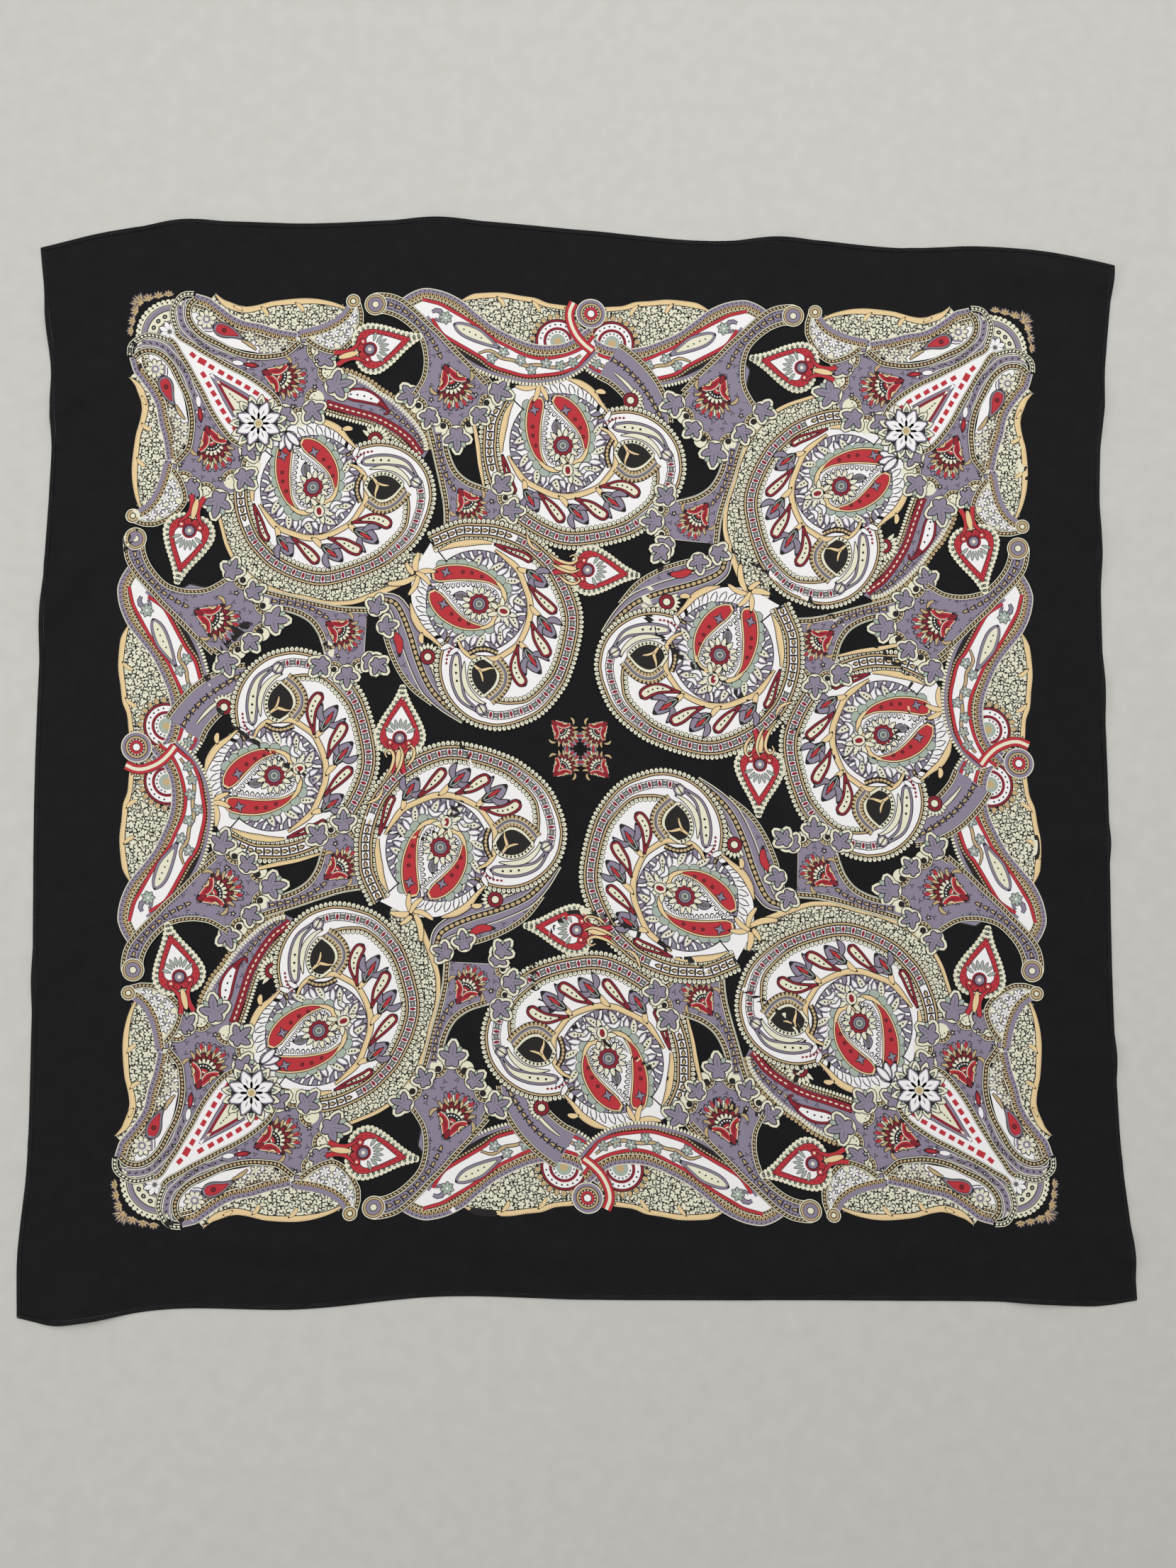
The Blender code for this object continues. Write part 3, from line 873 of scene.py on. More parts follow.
# Violet fields
def ivy(ink, centre, angle, size=13.0):
    """A lobed leaf with a pale scalloped edge; angle is where its middle lobe points, in
    degrees."""
    centre, turn, size = np.asarray(centre, float), math.radians(angle), size * 1.22
    lobes = ((0.0, 1.15), (1.15, 0.95), (-1.15, 0.95), (2.5, 0.6), (-2.5, 0.6))
    between = ((0.58, 0.9), (-0.58, 0.9))
    for colour, grow in (("black", 4.0), ("cream", 3.2)):
        ink.disc(colour, centre, size * 0.5 + grow)
        for veer, share in lobes[:3]:
            ink.many(colour, petal(size * share + grow, size * 0.5 + grow * 2, 0.5, 6),
                     [centre], [turn + veer])
    for veer, share in between:
        way = np.array([math.cos(turn + veer), math.sin(turn + veer)])
        leaf(ink, centre + way * size * 0.3, centre + way * size * (share + 0.2), size * 0.42, 0,
             [(0, "black"), (0.8, "sage")])
    for colour, grow in (("black", 1.0), ("violet", 0.0)):
        ink.disc(colour, centre, size * 0.36 + grow)
        for veer, share in lobes:
            ink.many(colour, petal(size * share + grow, size * 0.5 + grow * 2, 0.6, 5),
                     [centre], [turn + veer])
    for veer, share in lobes[:3]:
        way = np.array([math.cos(turn + veer), math.sin(turn + veer)])
        ink.line("grey", curve(centre + way * size * 0.2, centre + way * size * share * 0.7), 0.7)


def bay(ink, centre, radius=9.0, start=0.0, end=360.0, dark=None):
    """A round bay in a field: a corded edge along the part of it between two angles, with lace
    inside."""
    ring = arc(centre, radius, start, end)
    ink.line("black", beside(ring, -2.6), 1.0)
    ink.disc("cream", centre, radius - 0.4)
    ink.line("black", ring, 4.4)
    ink.row("tan", oval(2.9, 2.8, 3), ring, 3.5, turn=0.5)
    ink.line("cream", beside(ring, -2.0), 0.7)
    ink.row("black", oval(1.2, 2.4, 3), arc(centre, radius - 5, start, end), 3.6)
    if dark:
        ink.disc("black", dark, radius * 0.42)


def tulip(ink, base, tip, size=1.0):
    """A red tulip over a deep fan of petals; base is the middle of the dotted arc between them,
    and tip is where the flower points."""
    base, tip = np.asarray(base, float), np.asarray(tip, float)
    sketch = Ink()
    back = math.pi
    for reach, count, spread_by, colour, wide in (
        (33, 7, 0.62, "violet", 7.4), (30, 6, 0.55, "cream", 4.0), (27, 8, 1.0, "tan", 5.0),
        (21, 7, 1.25, "wine", 6.4), (17, 7, 1.25, "cream", 3.6),
    ):
        angles = back + np.linspace(-spread_by, spread_by, count)
        sketch.many("black", petal(reach + 1.2, wide + 2.0, 0.5), [(0, 0)] * count, angles)
        sketch.many(colour, petal(reach, wide, 0.5), [(0, 0)] * count, angles)
    for angle in np.linspace(-0.5, 0.5, 4):
        way = -np.array([math.cos(angle), math.sin(angle)])
        leaf(sketch, way * 24, way * 33, 4.4, 0, [(0, "wine"), (0.7, "red")])
    for angle in np.linspace(-0.9, 0.9, 5):
        way = -np.array([math.cos(angle), math.sin(angle)])
        sketch.disc("black", way * 17, 3.0)
        sketch.disc("wine", way * 17, 2.2)
    dotted = arc((5, 0), 11, 100, 260)
    sketch.line("black", dotted, 5.6)
    sketch.row("white", oval(2.0, 2.2, 3), dotted, 3.4)
    sketch.disc("black", (5, 0), 8.2)
    sketch.disc("red", (5, 0), 7.2)
    sketch.disc("cream", (5, 0), 4.4)
    sketch.disc("wine", (5, 0), 3.0)
    for sign in (1, -1):
        leaf(sketch, (-8, sign * 20), (6, sign * 26), 5.0, sign * 0.2,
             [(0, "black"), (0.7, "tan")])
        leaf(sketch, (22, sign * 2), (-6, sign * 21), 12, sign * 0.16,
             [(0, "black"), (0.9, "cream"), (1.9, "red"), (4.0, "wine")])
        leaf(sketch, (12, sign * 12), (0, sign * 17), 3.6, sign * 0.3,
             [(0, "black"), (0.7, "gold")])
    leaf(sketch, (10, 0), (24, 0), 6.5, 0.0, [(0, "black"), (0.7, "wine")])
    way = tip - base
    ink.place(sketch, at=base, turn=math.degrees(math.atan2(way[1], way[0])), scale=size)


def sprigs(ink, places, size=1.0):
    """Small dark flowers that fill a violet ground."""
    for number, (x, y) in enumerate(places):
        ink.many("black", petal(3.4 * size, 1.9 * size), [(x, y)] * 5,
                 number + np.arange(5) * 2 * math.pi / 5)
        ink.disc("cream", (x, y), 0.9 * size)


def small_tulip(ink, base, tip):
    """A red bud between two white leaves."""
    base, tip = np.asarray(base, float), np.asarray(tip, float)
    way = tip - base
    aside = np.array([-way[1], way[0]])
    leaf(ink, base, base + way * 0.8 + aside * 0.3, 5, -0.2, [(0, "black"), (0.6, "white")])
    leaf(ink, base, base + way * 0.8 - aside * 0.3, 5, 0.2, [(0, "black"), (0.6, "white")])
    leaf(ink, base, tip, 5.6, 0.0, [(0, "black"), (0.6, "wine"), (1.8, "red")])


# The corner
def draw_corner():
    """Everything on the diagonal at the corner."""
    ink = Ink()
    for x, y, angle, size in ((-457, 455, 135, 14), (-448, 460, 108, 9.5), (-438, 463, 98, 8.5),
                              (-428, 465, 92, 7.5)):
        for at, facing in (((x, y), angle), ((-y, -x), 270 - angle)):
            spread_out = math.radians(facing) + np.linspace(-1.25, 1.25, 5)
            ink.many("slate", petal(size * 0.8, 3.6), [at] * 5, spread_out)
            ink.many("tan", petal(size * 0.7, 2.0), [at] * 5, spread_out)
            ink.disc("tan", at, 1.3)
    centre = (-423, 423)
    ink.disc("cream", centre, 36)
    ink.row("cream", oval(5, 5.4, 6), arc(centre, 36, 70, 200), 5.2)
    ink.row("black", oval(2.2, 2.4, 3), arc(centre, 35.4, 70, 200), 5.2)
    ink.line("black", arc(centre, 32.5, 60, 210), 0.9)
    ink.line("violet", arc(centre, 29.6, 60, 210), 4.2)
    ink.line("black", arc(centre, 27, 60, 210), 0.9)
    ink.row("black", oval(5.4, 4.8, 4), arc(centre, 22, 60, 210), 8.4)
    ink.row("sage", oval(2.4, 2.0, 3), arc(centre, 22, 60, 210), 8.4)
    ink.line("black", arc(centre, 16.6, 60, 210), 0.8)
    ink.line("violet", arc(centre, 14.6, 60, 210), 2.6)
    bloom(ink, (-427, 428), 8, 2, 11, 5.4, "white", 0.4)
    ink.disc("grey", (-427, 428), 2.4)
    return ink


UPPER_ROPE = curve((-420, 428), (-416, 422), (-404, 415), (-393, 408), (-382, 402), (-366, 393),
                   (-350, 385), (-337, 377), (-325, 368), (-317, 360), (-312, 350))
BOTEH_ROPE = curve((-400, 462), (-406, 456), (-408, 447), (-406, 439), (-400, 430), (-390, 422),
                   (-377, 416), (-363, 409), (-350, 405), (-334, 403), (-320, 404), (-309, 406),
                   (-302, 411), (-294, 418))


def draw_field_one():
    """The violet ground between the corner's drop and the kite, with its tulip and leaves."""
    ink = Ink()
    low = curve((-424, 440), (-420, 428), (-404, 415), (-382, 402), (-350, 385), (-317, 360),
                (-311, 344), (-296, 340), (-280, 346), (-266, 356), count=70)
    high = curve((-410, 464), (-410, 447), (-400, 430), (-377, 416), (-350, 405), (-320, 404),
                 (-302, 411), (-290, 424), (-274, 414), (-258, 384), count=70)
    ink.between("violet", high, low)
    seeded(ink, high, low, 12)
    for hole, middle in (((-275, 410), 225), ((-264, 387), 195), ((-277, 360), 165),
                         ((-293, 340), 100)):
        bay(ink, hole, 9.0, middle - 80, middle + 80)
    for at, angle, size in (((-287, 425), 95, 11), ((-270, 401), 30, 11), ((-257, 373), 10, 13),
                            ((-281, 349), -50, 11), ((-309, 345), -100, 11)):
        ivy(ink, at, angle, size)
    tulip(ink, (-314, 382), (-338, 391), 0.84)
    sprigs(ink, ((-276, 398), (-278, 372), (-300, 352), (-292, 414), (-318, 358)))
    sprigs(ink, ((-372, 400), (-380, 404), (-388, 410), (-396, 417), (-402, 424)), 0.8)
    small_tulip(ink, (-335, 394), (-352, 396))
    leaf(ink, (-350, 396), (-364, 398), 6, 0, [(0, "black"), (0.6, "white")])
    # Violet scroll band round the head of the drop
    band = curve((-416, 456), (-416, 445), (-413, 434), (-405, 425), (-394, 416), (-382, 409),
                 (-369, 404), (-361, 400))
    ink.lines("cream", band, (3.4, -3.4), 0.8)
    ink.row("black", oval(3.4, 1.8, 3), band, 6.4, turn=0.6)
    rim = curve((-402, 467), (-410, 467), (-416, 464), (-420, 458), (-424, 449), (-422, 437),
                (-418, 427))
    rope(ink, rim, 3.6, "cream")
    ink.disc("cream", (-406, 457), 5.6)
    ink.disc("black", (-406, 457), 4.6)
    ink.disc("violet", (-406, 457), 3.6)
    return ink


DASH = (np.array([[-3.2, 2.3], [3.2, 2.5]]), np.array([[-3.2, -2.3], [3.2, -2.0]]))


def draw_kite():
    """The white kite on the diagonal, with arrowheads, red dashes and a flower."""
    ink = Ink()
    low_rope = UPPER_ROPE[:, ::-1] * [-1, -1]
    ink.between("white", UPPER_ROPE, low_rope)
    # Nested arrowheads
    arrow = curve((-385, 385), (-371, 377), (-356, 369), (-341, 360))
    arrow_low = arrow[:, ::-1] * [-1, -1]
    ink.between("black", beside(arrow, 1.4), beside(arrow_low, -1.4))
    ink.between("violet", beside(arrow, 0.7), beside(arrow_low, -0.7))
    ink.between("white", beside(arrow, -2.0), beside(arrow_low, 2.0))
    red = curve((-378, 378), (-367, 372), (-355, 365), (-343, 357.5))
    red_low = red[:, ::-1] * [-1, -1]
    ink.between("wine", beside(red, 1.3), beside(red_low, -1.3))
    ink.between("cream", beside(red, -1.6), beside(red_low, 1.6))
    ink.row("black", oval(3, 1.4, 3), curve((-366, 366), (-350, 350)), 4.0)
    dashes = [(-403, 404, -45, 1.0), (-393.5, 397.5, -30, 1.35)]
    for x, y in ((-384, 392), (-374, 386.5), (-365, 381.5), (-356, 376.5), (-347, 371.5),
                 (-338, 366), (-329, 359)):
        dashes += [(x, y, -32, 1.0), (-y, -x, -58, 1.0)]
    for x, y, angle, size in dashes:
        turn = math.radians(angle)
        ink.many("red", DASH, [(x, y)], [turn], size)
    for line in (UPPER_ROPE, low_rope):
        rope(ink, line, 3.4)
    centre = (-335, 335)
    bloom(ink, centre, 15, 13, 29, 8.4, "cream", 0.2)
    bloom(ink, centre, 15, 14, 24, 3.4, "sage", 0.2)
    ink.disc("black", centre, 20)
    bloom(ink, centre, 8, 3, 23.5, 12.0, "violet", 0.39)
    angles = 0.39 + np.arange(8) * math.pi / 4
    ink.many("white", petal(22, 10.4), [centre] * 8, angles)
    rim = np.asarray(centre) + 12 * np.stack([np.cos(angles), np.sin(angles)], axis=-1)
    ink.many("slate", oval(6.4, 1.1, 3), rim, angles)
    ink.rings(centre, ("black", 5.2), ("cream", 4.6), ("tan", 3.4))
    return ink


def draw_boteh():
    """The drop that lies along the top from the corner, with its tail and the field above it."""
    ink = Ink()
    top = curve((-380, 467), (-372, 459), (-361, 454), (-350, 451.5), (-339, 453), (-328, 456),
                (-320, 458), (-298, 460), (-280, 460), (-266, 458), (-255, 455), (-243, 450),
                count=60)
    below = curve((-384, 463), (-378, 457), (-363, 446), (-350, 440), (-334, 437), (-317, 432),
                  (-300, 429), (-279, 433), (-266, 436), (-255, 441), (-247, 448), count=60)
    vermicelli(ink, top, below, seed=3)
    branch(ink, top, [1, 6.4, 6.4, 5.2, 4.6, 5.2, 5.6, 4.6, 3.4, 1.5])
    for base, tip in (((-334, 455), (-326, 443)), ((-299, 459), (-289, 448)),
                      ((-362, 455), (-352, 450))):
        leaf(ink, base, tip, 4.6, 0.1, [(0, "black"), (0.4, "gold")])
    # The drop's upper border, from its outer edge inwards, and its white body
    outer = curve((-400, 467), (-386, 463), (-378, 457), (-363, 446), (-350, 440), (-334, 437),
                  (-317, 432), (-296, 428))
    foot = curve((-400, 460), (-404, 447), (-400, 436), (-390, 427), (-377, 420), (-363, 413),
                 (-345, 409), (-323, 407), (-296, 418), count=len(outer))
    ink.between("white", outer, foot)
    ink.band("violet", outer, 0, -5)
    ink.line("cream", outer, 0.8)
    ink.row("black", oval(2.4, 1.3, 3), beside(outer, -2.5), 5.0, turn=0.6)
    scallops(ink, beside(outer, -5), 4.6, -1)
    ink.lines("cream", outer, (-10.4,), 0.9)
    ink.band("black", outer, -11, -14)
    ink.row("tan", oval(2.2, 1.8, 3), beside(outer, -12.5), 3.2)
    picots(ink, beside(outer, -14.4), 4.0, -1)
    ink.line("cream", beside(outer, -14.2), 0.8)
    # Motifs on the white body
    centre = (-389, 441)
    bloom(ink, centre, 9, 4, 10, 4.4, "cream", 0.2)
    ink.disc("violet", centre, 4.0)
    ink.disc("cream", centre, 2.0)
    ink.line("violet", curve((-392, 432), (-384, 432), (-380, 439)), 2.2)
    ink.line("black", curve((-391, 429), (-382, 429), (-377, 437)), 0.9)
    drop(ink, [(-383, 434), (-374, 431), (-362, 427), (-351, 421)], [5, 8.4, 7.6, 4, 1.5],
         [(0, "black"), (0.6, "grey"), (1.8, "violet"), (2.6, "wine"), (3.4, "red")])
    ink.disc("black", (-371, 430), 2.6)
    ink.disc("wine", (-371, 430), 1.6)
    branch(ink, curve((-353, 420), (-345, 416), (-338, 410)), [1, 3.6, 0.8], "tan", hairs=False)
    for x, y in ((-345, 424), (-334, 418), (-322, 417), (-311, 418), (-330, 411), (-317, 411)):
        bloom(ink, (x, y), 6, 0.8, 5.4, 2.6, "cream", 0.5, "slate")
    rope(ink, BOTEH_ROPE, 4.2)
    # The tail and its scroll
    tail_top = curve((-294, 430), (-279, 433), (-266, 437), (-255, 443), (-248, 450), (-244, 458),
                     count=30)
    tail_low = curve((-287, 421), (-274, 412), (-258, 407), (-248, 411), (-238, 422), (-231, 436),
                     count=30)
    tail_low = even(np.concatenate([tail_low, [(-231, 447), (-234, 457)]]), count=30)
    ink.between("cream", tail_top, tail_low)
    for x, y in ((-272, 422), (-263, 416), (-258, 427), (-250, 419), (-247, 432), (-241, 426),
                 (-240, 440), (-237, 448), (-268, 428)):
        bloom(ink, (x, y), 6, 0.8, 5.6, 2.6, "white", 0.3, "slate")
    ink.band("violet", tail_top, 0.6, -4)
    scallops(ink, beside(tail_top, -4), 3.8, -1)
    ink.line("cream", beside(tail_top, -8.6), 0.8)
    rope(ink, tail_low, 3.6, "tan")
    ink.rings(
        (-239, 459),
        ("cream", 7.4), ("black", 6.4), ("tan", 5.6), ("black", 3.4), ("cream", 2.4),
    )
    return ink


# Hearts
def draw_heart():
    """A red heart on a golden stem, its tip to the right at the origin; it points along +X."""
    ink = Ink()

    def side(sign, *points):
        return curve(*[(x, sign * y) for x, y in points], spacing=2.5)

    outer = [(-72, 3), (-72, 13), (-66, 22), (-54, 26), (-38, 20), (-18, 8), (0, 0.3)]
    for sign in (1, -1):
        rim = side(sign, *outer)
        ink.row("cream", oval(5.2, 4.6, 4), rim, 4.6)
    up, down = side(1, *outer), side(-1, *outer)
    ink.between("cream", up, down)
    for path, sign in ((up, -1), (down, 1)):
        ink.row("black", oval(3.2, 3.8, 4), beside(path, sign * 2.4), 5.6)
        ink.row("sage", oval(1.6, 2.0, 3), beside(path, sign * 2.2), 5.6)
    red = [(-69, 2), (-69, 11), (-62, 19.5), (-52, 20.5), (-38, 15), (-22, 6), (-13, 0.3)]
    ink.between("black", beside(side(1, *red), 0.7), beside(side(-1, *red), -0.7))
    ink.between("red", side(1, *red), side(-1, *red))
    for sign in (1, -1):
        ink.row("wine", oval(2.0, 2.0, 3), beside(side(sign, *red), -sign * 2.8), 4.6)
    white = [(-60, 1), (-60, 8), (-55, 14), (-48, 14), (-38, 9.5), (-28, 3.4), (-23, 0.3)]
    ink.between("black", beside(side(1, *white), 0.8), beside(side(-1, *white), -0.8))
    ink.between("white", side(1, *white), side(-1, *white))
    for angle in np.radians([-62, -38, -19, 0, 19, 38, 62]):
        way = np.array([math.cos(angle), math.sin(angle)])
        start = np.array([-55, 0]) + way * 8
        leaf(ink, start, start + way * 11, 4.0, 0, [(0, "grey"), (0.8, "sage")])
    ink.disc("wine", (-57, 0), 8)
    ink.disc("black", (-57, 0), 6)
    ink.disc("violet", (-57, 0), 5)
    ink.disc("cream", (-57, 0), 2)
    for sign in (1, -1):
        ink.disc("black", (-62, sign * 10), 4.2)
        ink.disc("red", (-62, sign * 10), 3.4)
        ink.disc("cream", (-62, sign * 10), 1.3)
        stem = side(sign, (-94, 7), (-84, 4), (-74, 5), (-64, 12))
        branch(ink, stem, [4.5, 4.6, 3.8, 1.5], "red", hairs=False)
    leaf(ink, (-94, 0), (-66, 0), 7, 0, [(0, "black"), (0.6, "gold")])
    return ink


# The long drop along each side
ARM_TOP = [(-222, 463), (-216, 467), (-201, 466), (-190, 462), (-179, 454), (-168, 444),
           (-160, 436), (-149, 426), (-133, 409), (-117, 393), (-100, 374)]
ARM_FOOT = [(-219, 444), (-209, 445), (-200, 443), (-190, 438), (-179, 429), (-171, 419),
            (-167, 406), (-166, 393), (-168, 380), (-173, 370), (-178, 362)]


def draw_arm():
    """The scrolled arm that runs down from the edge into a violet field."""
    ink = Ink()
    high, low = curve(*ARM_TOP, count=60), curve(*ARM_FOOT, count=60)
    ink.between("violet", high, low)
    middle = (high + low) / 2
    seeded(ink, high, low, 11)
    ink.line("violet", middle[3:44], 8)
    buds(ink, middle[3:44])
    for path, aside in ((high, -6.4), (low, 6.4)):
        ink.row("black", oval(1.7, 1.3, 3), beside(path[4:44], aside), 3.4)
    rope(ink, beside(high, -2.4), 3.2, "tan")
    rope(ink, beside(low, 2.4), 3.2, "tan")
    ink.rings(
        (-216, 455),
        ("cream", 11.4), ("black", 10.4), ("tan", 9.6), ("black", 8.0), ("violet", 7.4),
        ("black", 4.0), ("cream", 3.2),
    )
    tulip(ink, (-137, 374), (-145, 393), 0.86)
    return ink


def draw_long_drop():
    """The long white drop beside an edge, with its red lines and its vine."""
    ink = Ink()
    top = curve((-190, 460), (-179, 467), (-168, 471), (-160, 471), (-149, 469), (-138, 465),
                (-127, 459), (-117, 451), (-106, 442), (-95, 434), (-79, 426), (-62, 419),
                (-46, 416), (-30, 417), (-19, 420), (-8, 427), (4, 437))
    foot_points = ((-166, 440), (-150, 421), (-133, 401), (-117, 390), (-99, 382), (-80, 377),
                   (-60, 374), (-40, 375), (-19, 381), (0, 393), (14, 408))
    foot = curve(*foot_points, count=len(top))
    ink.between("white", top, foot)
    # Border along the top
    ink.band("violet", top, 0, -4.5)
    ink.line("cream", top, 0.8)
    ink.row("black", oval(2.2, 1.2, 3), beside(top, -2.3), 4.6, turn=0.6)
    scallops(ink, beside(top, -4.5), 4.8, -1)
    ink.band("black", top, -9.5, -13)
    ink.row("tan", oval(2.2, 1.9, 3), beside(top, -11.2), 3.2)
    ink.line("cream", beside(top, -9.8), 0.7)
    ink.line("cream", beside(top, -13), 0.7)
    upper = curve((-168, 460), (-160, 458), (-149, 455), (-138, 449), (-117, 437), (-95, 421),
                  (-79, 413), (-62, 405), (-46, 402), (-30, 404), (-14, 409), (0, 417), (9, 428))
    ink.line("black", upper, 3.8)
    ink.line("red", upper, 2.9)
    # Border along the foot
    lower = curve((-158, 440), (-148, 425), (-138, 418), (-120, 408), (-106, 400), (-95, 392),
                  (-79, 387), (-60, 383), (-40, 385), (-24, 388), (-8, 395), (0, 404), (10, 415))
    base = curve(*foot_points, count=len(lower))
    ink.between("black", lower, base)
    ink.row("tan", oval(2.6, 2.2, 3), beside(lower, -3.4), 3.4)
    ink.band("violet", base, 5.4, 2.6)
    ink.row("cream", arch(-3.4, 2.5), beside(base, 2.4), 3.5)
    ink.line("black", lower, 3.9)
    ink.line("red", lower, 3.0)
    # Motifs on the white
    drop(ink, [(-136, 435), (-124, 429), (-112, 424), (-101, 418), (-88, 411)],
         [4, 8, 8.4, 5.4, 1.6], [(0, "black"), (0.7, "violet"), (2.6, "grey"), (3.4, "cream")])
    ink.many("black", oval(2.0, 2.0, 3), [(-125, 429.5), (-119, 427), (-113, 424), (-107, 421)],
             [0] * 4)
    branch(ink, curve((-158, 447), (-152, 449), (-147, 444), (-150, 438), (-155, 440)),
           [2, 4, 4, 3, 1], "violet", hairs=False)
    bloom(ink, (-144, 441), 7, 1, 6.4, 3.4, "sage", 0.3, "grey")
    vine = curve((-110, 405), (-98, 408), (-86, 401), (-74, 399), (-62, 394), (-48, 395),
                 (-32, 393), (-18, 397), (-4, 407))
    branch(ink, vine, [1, 3, 2.4, 3, 2.4, 3, 1.4], "tan", hairs=False)
    for x, y, turn in ((-96, 400, 0), (-84, 407, 1), (-66, 399, 2), (-55, 390, 3), (-40, 397, 4),
                       (-25, 395, 5), (-12, 399, 6)):
        bloom(ink, (x, y), 5, 0.8, 5.4, 3.2, "sage", turn, "slate")
    return ink


def draw_drop_head():
    """The coiled head that the next side's long drop ends in."""
    ink = Ink()
    centre = np.array([6.0, 451.0])
    ink.rings(
        centre,
        ("cream", 15.6), ("violet", 14.6), ("black", 11.6), ("tan", 10.8), ("black", 9.0),
        ("cream", 8.2), ("red", 7.2), ("black", 4.4), ("white", 3.6),
    )
    ink.row("black", arch(2.2, 1.6), arc(centre, 8.8, 0, 360), 3.6)
    for reach, wide, colour in ((0, 10, "black"), (0.0, 9, "cream"), (-3.1, 2.8, "red"),
                                (3.1, 2.8, "red")):
        strip = curve((-12, 462), (-16, 452), (-15, 441), (-9, 428), (0, 418), (8, 412))
        ink.line(colour, beside(strip, reach), wide)
    return ink


def draw_side_field():
    """The curled ground above the long drop, its golden edge, and the eye that rises in it."""
    ink = Ink()
    top = curve((-129, 459), (-117, 464), (-100, 466.5), (-84, 467), (-68, 465), (-52, 463),
                (-40, 459), (-24, 457), (-6, 455), count=50)
    below = curve((-129, 456), (-117, 450), (-106, 441), (-95, 433), (-79, 425), (-62, 418),
                  (-46, 415), (-30, 415), (-4, 428), count=50)
    vermicelli(ink, top, below, seed=5)
    branch(ink, top, [1, 5.6, 5, 5, 4.6, 5, 4, 4.6, 2])
    for base, tip in (((-92, 466), (-83, 453)), ((-56, 463), (-46, 449)), ((-22, 457), (-14, 449))):
        leaf(ink, base, tip, 4.6, 0.1, [(0, "black"), (0.4, "gold")])
    centre = (-28, 421)
    ink.row("black", petal(8, 6.4), arc(centre, 22, 0, 200), 6.4, turn=-1.57)
    ink.row("tan", petal(7, 5.0), arc(centre, 22.4, 0, 200), 6.4, turn=-1.57)
    ink.rings(
        centre,
        ("black", 23.6), ("wine", 22.8), ("black", 21), ("white", 20.4), ("wine", 15),
        ("black", 12.6), ("white", 12), ("sage", 8), ("tan", 4),
    )
    ink.row("black", oval(2.2, 2.2, 3), arc(centre, 17.8, 0, 180), 5.4)
    ink.row("grey", oval(2.0, 2.6, 3), arc(centre, 10, 0, 180), 4.0)
    return ink


# Crescents beside the whorls
def draw_crescent_ground():
    """The curled ground that wraps the first whorl's foot, inside a golden line."""
    ink = Ink()
    gold = curve((-376, 262), (-373, 247), (-368, 230), (-361, 210), (-350, 192), (-338, 181),
                 (-327, 173), (-313, 166), (-296, 160), (-281, 157), (-258, 151), (-240, 150),
                 (-228, 151), (-212, 156), (-190, 164), (-166, 174), count=90)
    rim = even(beside(WHORL_CHAIN, -9.0), 2.0)
    rim = rim[len(rim) // 10: len(rim) * 62 // 100]
    rim = even(np.concatenate([rim, [(-160, 198), (-160, 180)]]), count=90)
    vermicelli(ink, rim, gold, seed=7)
    branch(ink, gold, [1, 3, 3.4, 3.6, 4.6, 5, 5, 4, 4, 5, 5.4, 4.6])
    return ink


def gold_star(ink, centre, turn=0.0):
    """The golden joint between two whorls."""
    for angle, reach, wide in ((-2.9, 36, 7), (1.5, 26, 7), (2.3, 20, 6), (-2.0, 26, 6),
                               (0.1, 22, 6), (-0.7, 20, 6)):
        angle = angle + turn
        way = np.array([math.cos(angle), math.sin(angle)])
        leaf(ink, np.asarray(centre) - way * 5, np.asarray(centre) + way * reach, wide, 0.1,
             [(0, "black"), (0.6, "gold")])


def fan(ink, centre, angle, radius=13.0):
    """A half rosette of pale petals round a dark red eye."""
    turn = math.radians(angle)
    angles = turn + np.linspace(-1.7, 1.7, 11)
    ink.many("black", petal(radius + 4, 6.0), [centre] * 11, angles)
    ink.many("cream", petal(radius + 3, 4.6), [centre] * 11, angles)
    ink.rings(centre, ("black", 8.4), ("wine", 7.4), ("black", 4.6), ("cream", 3.6))


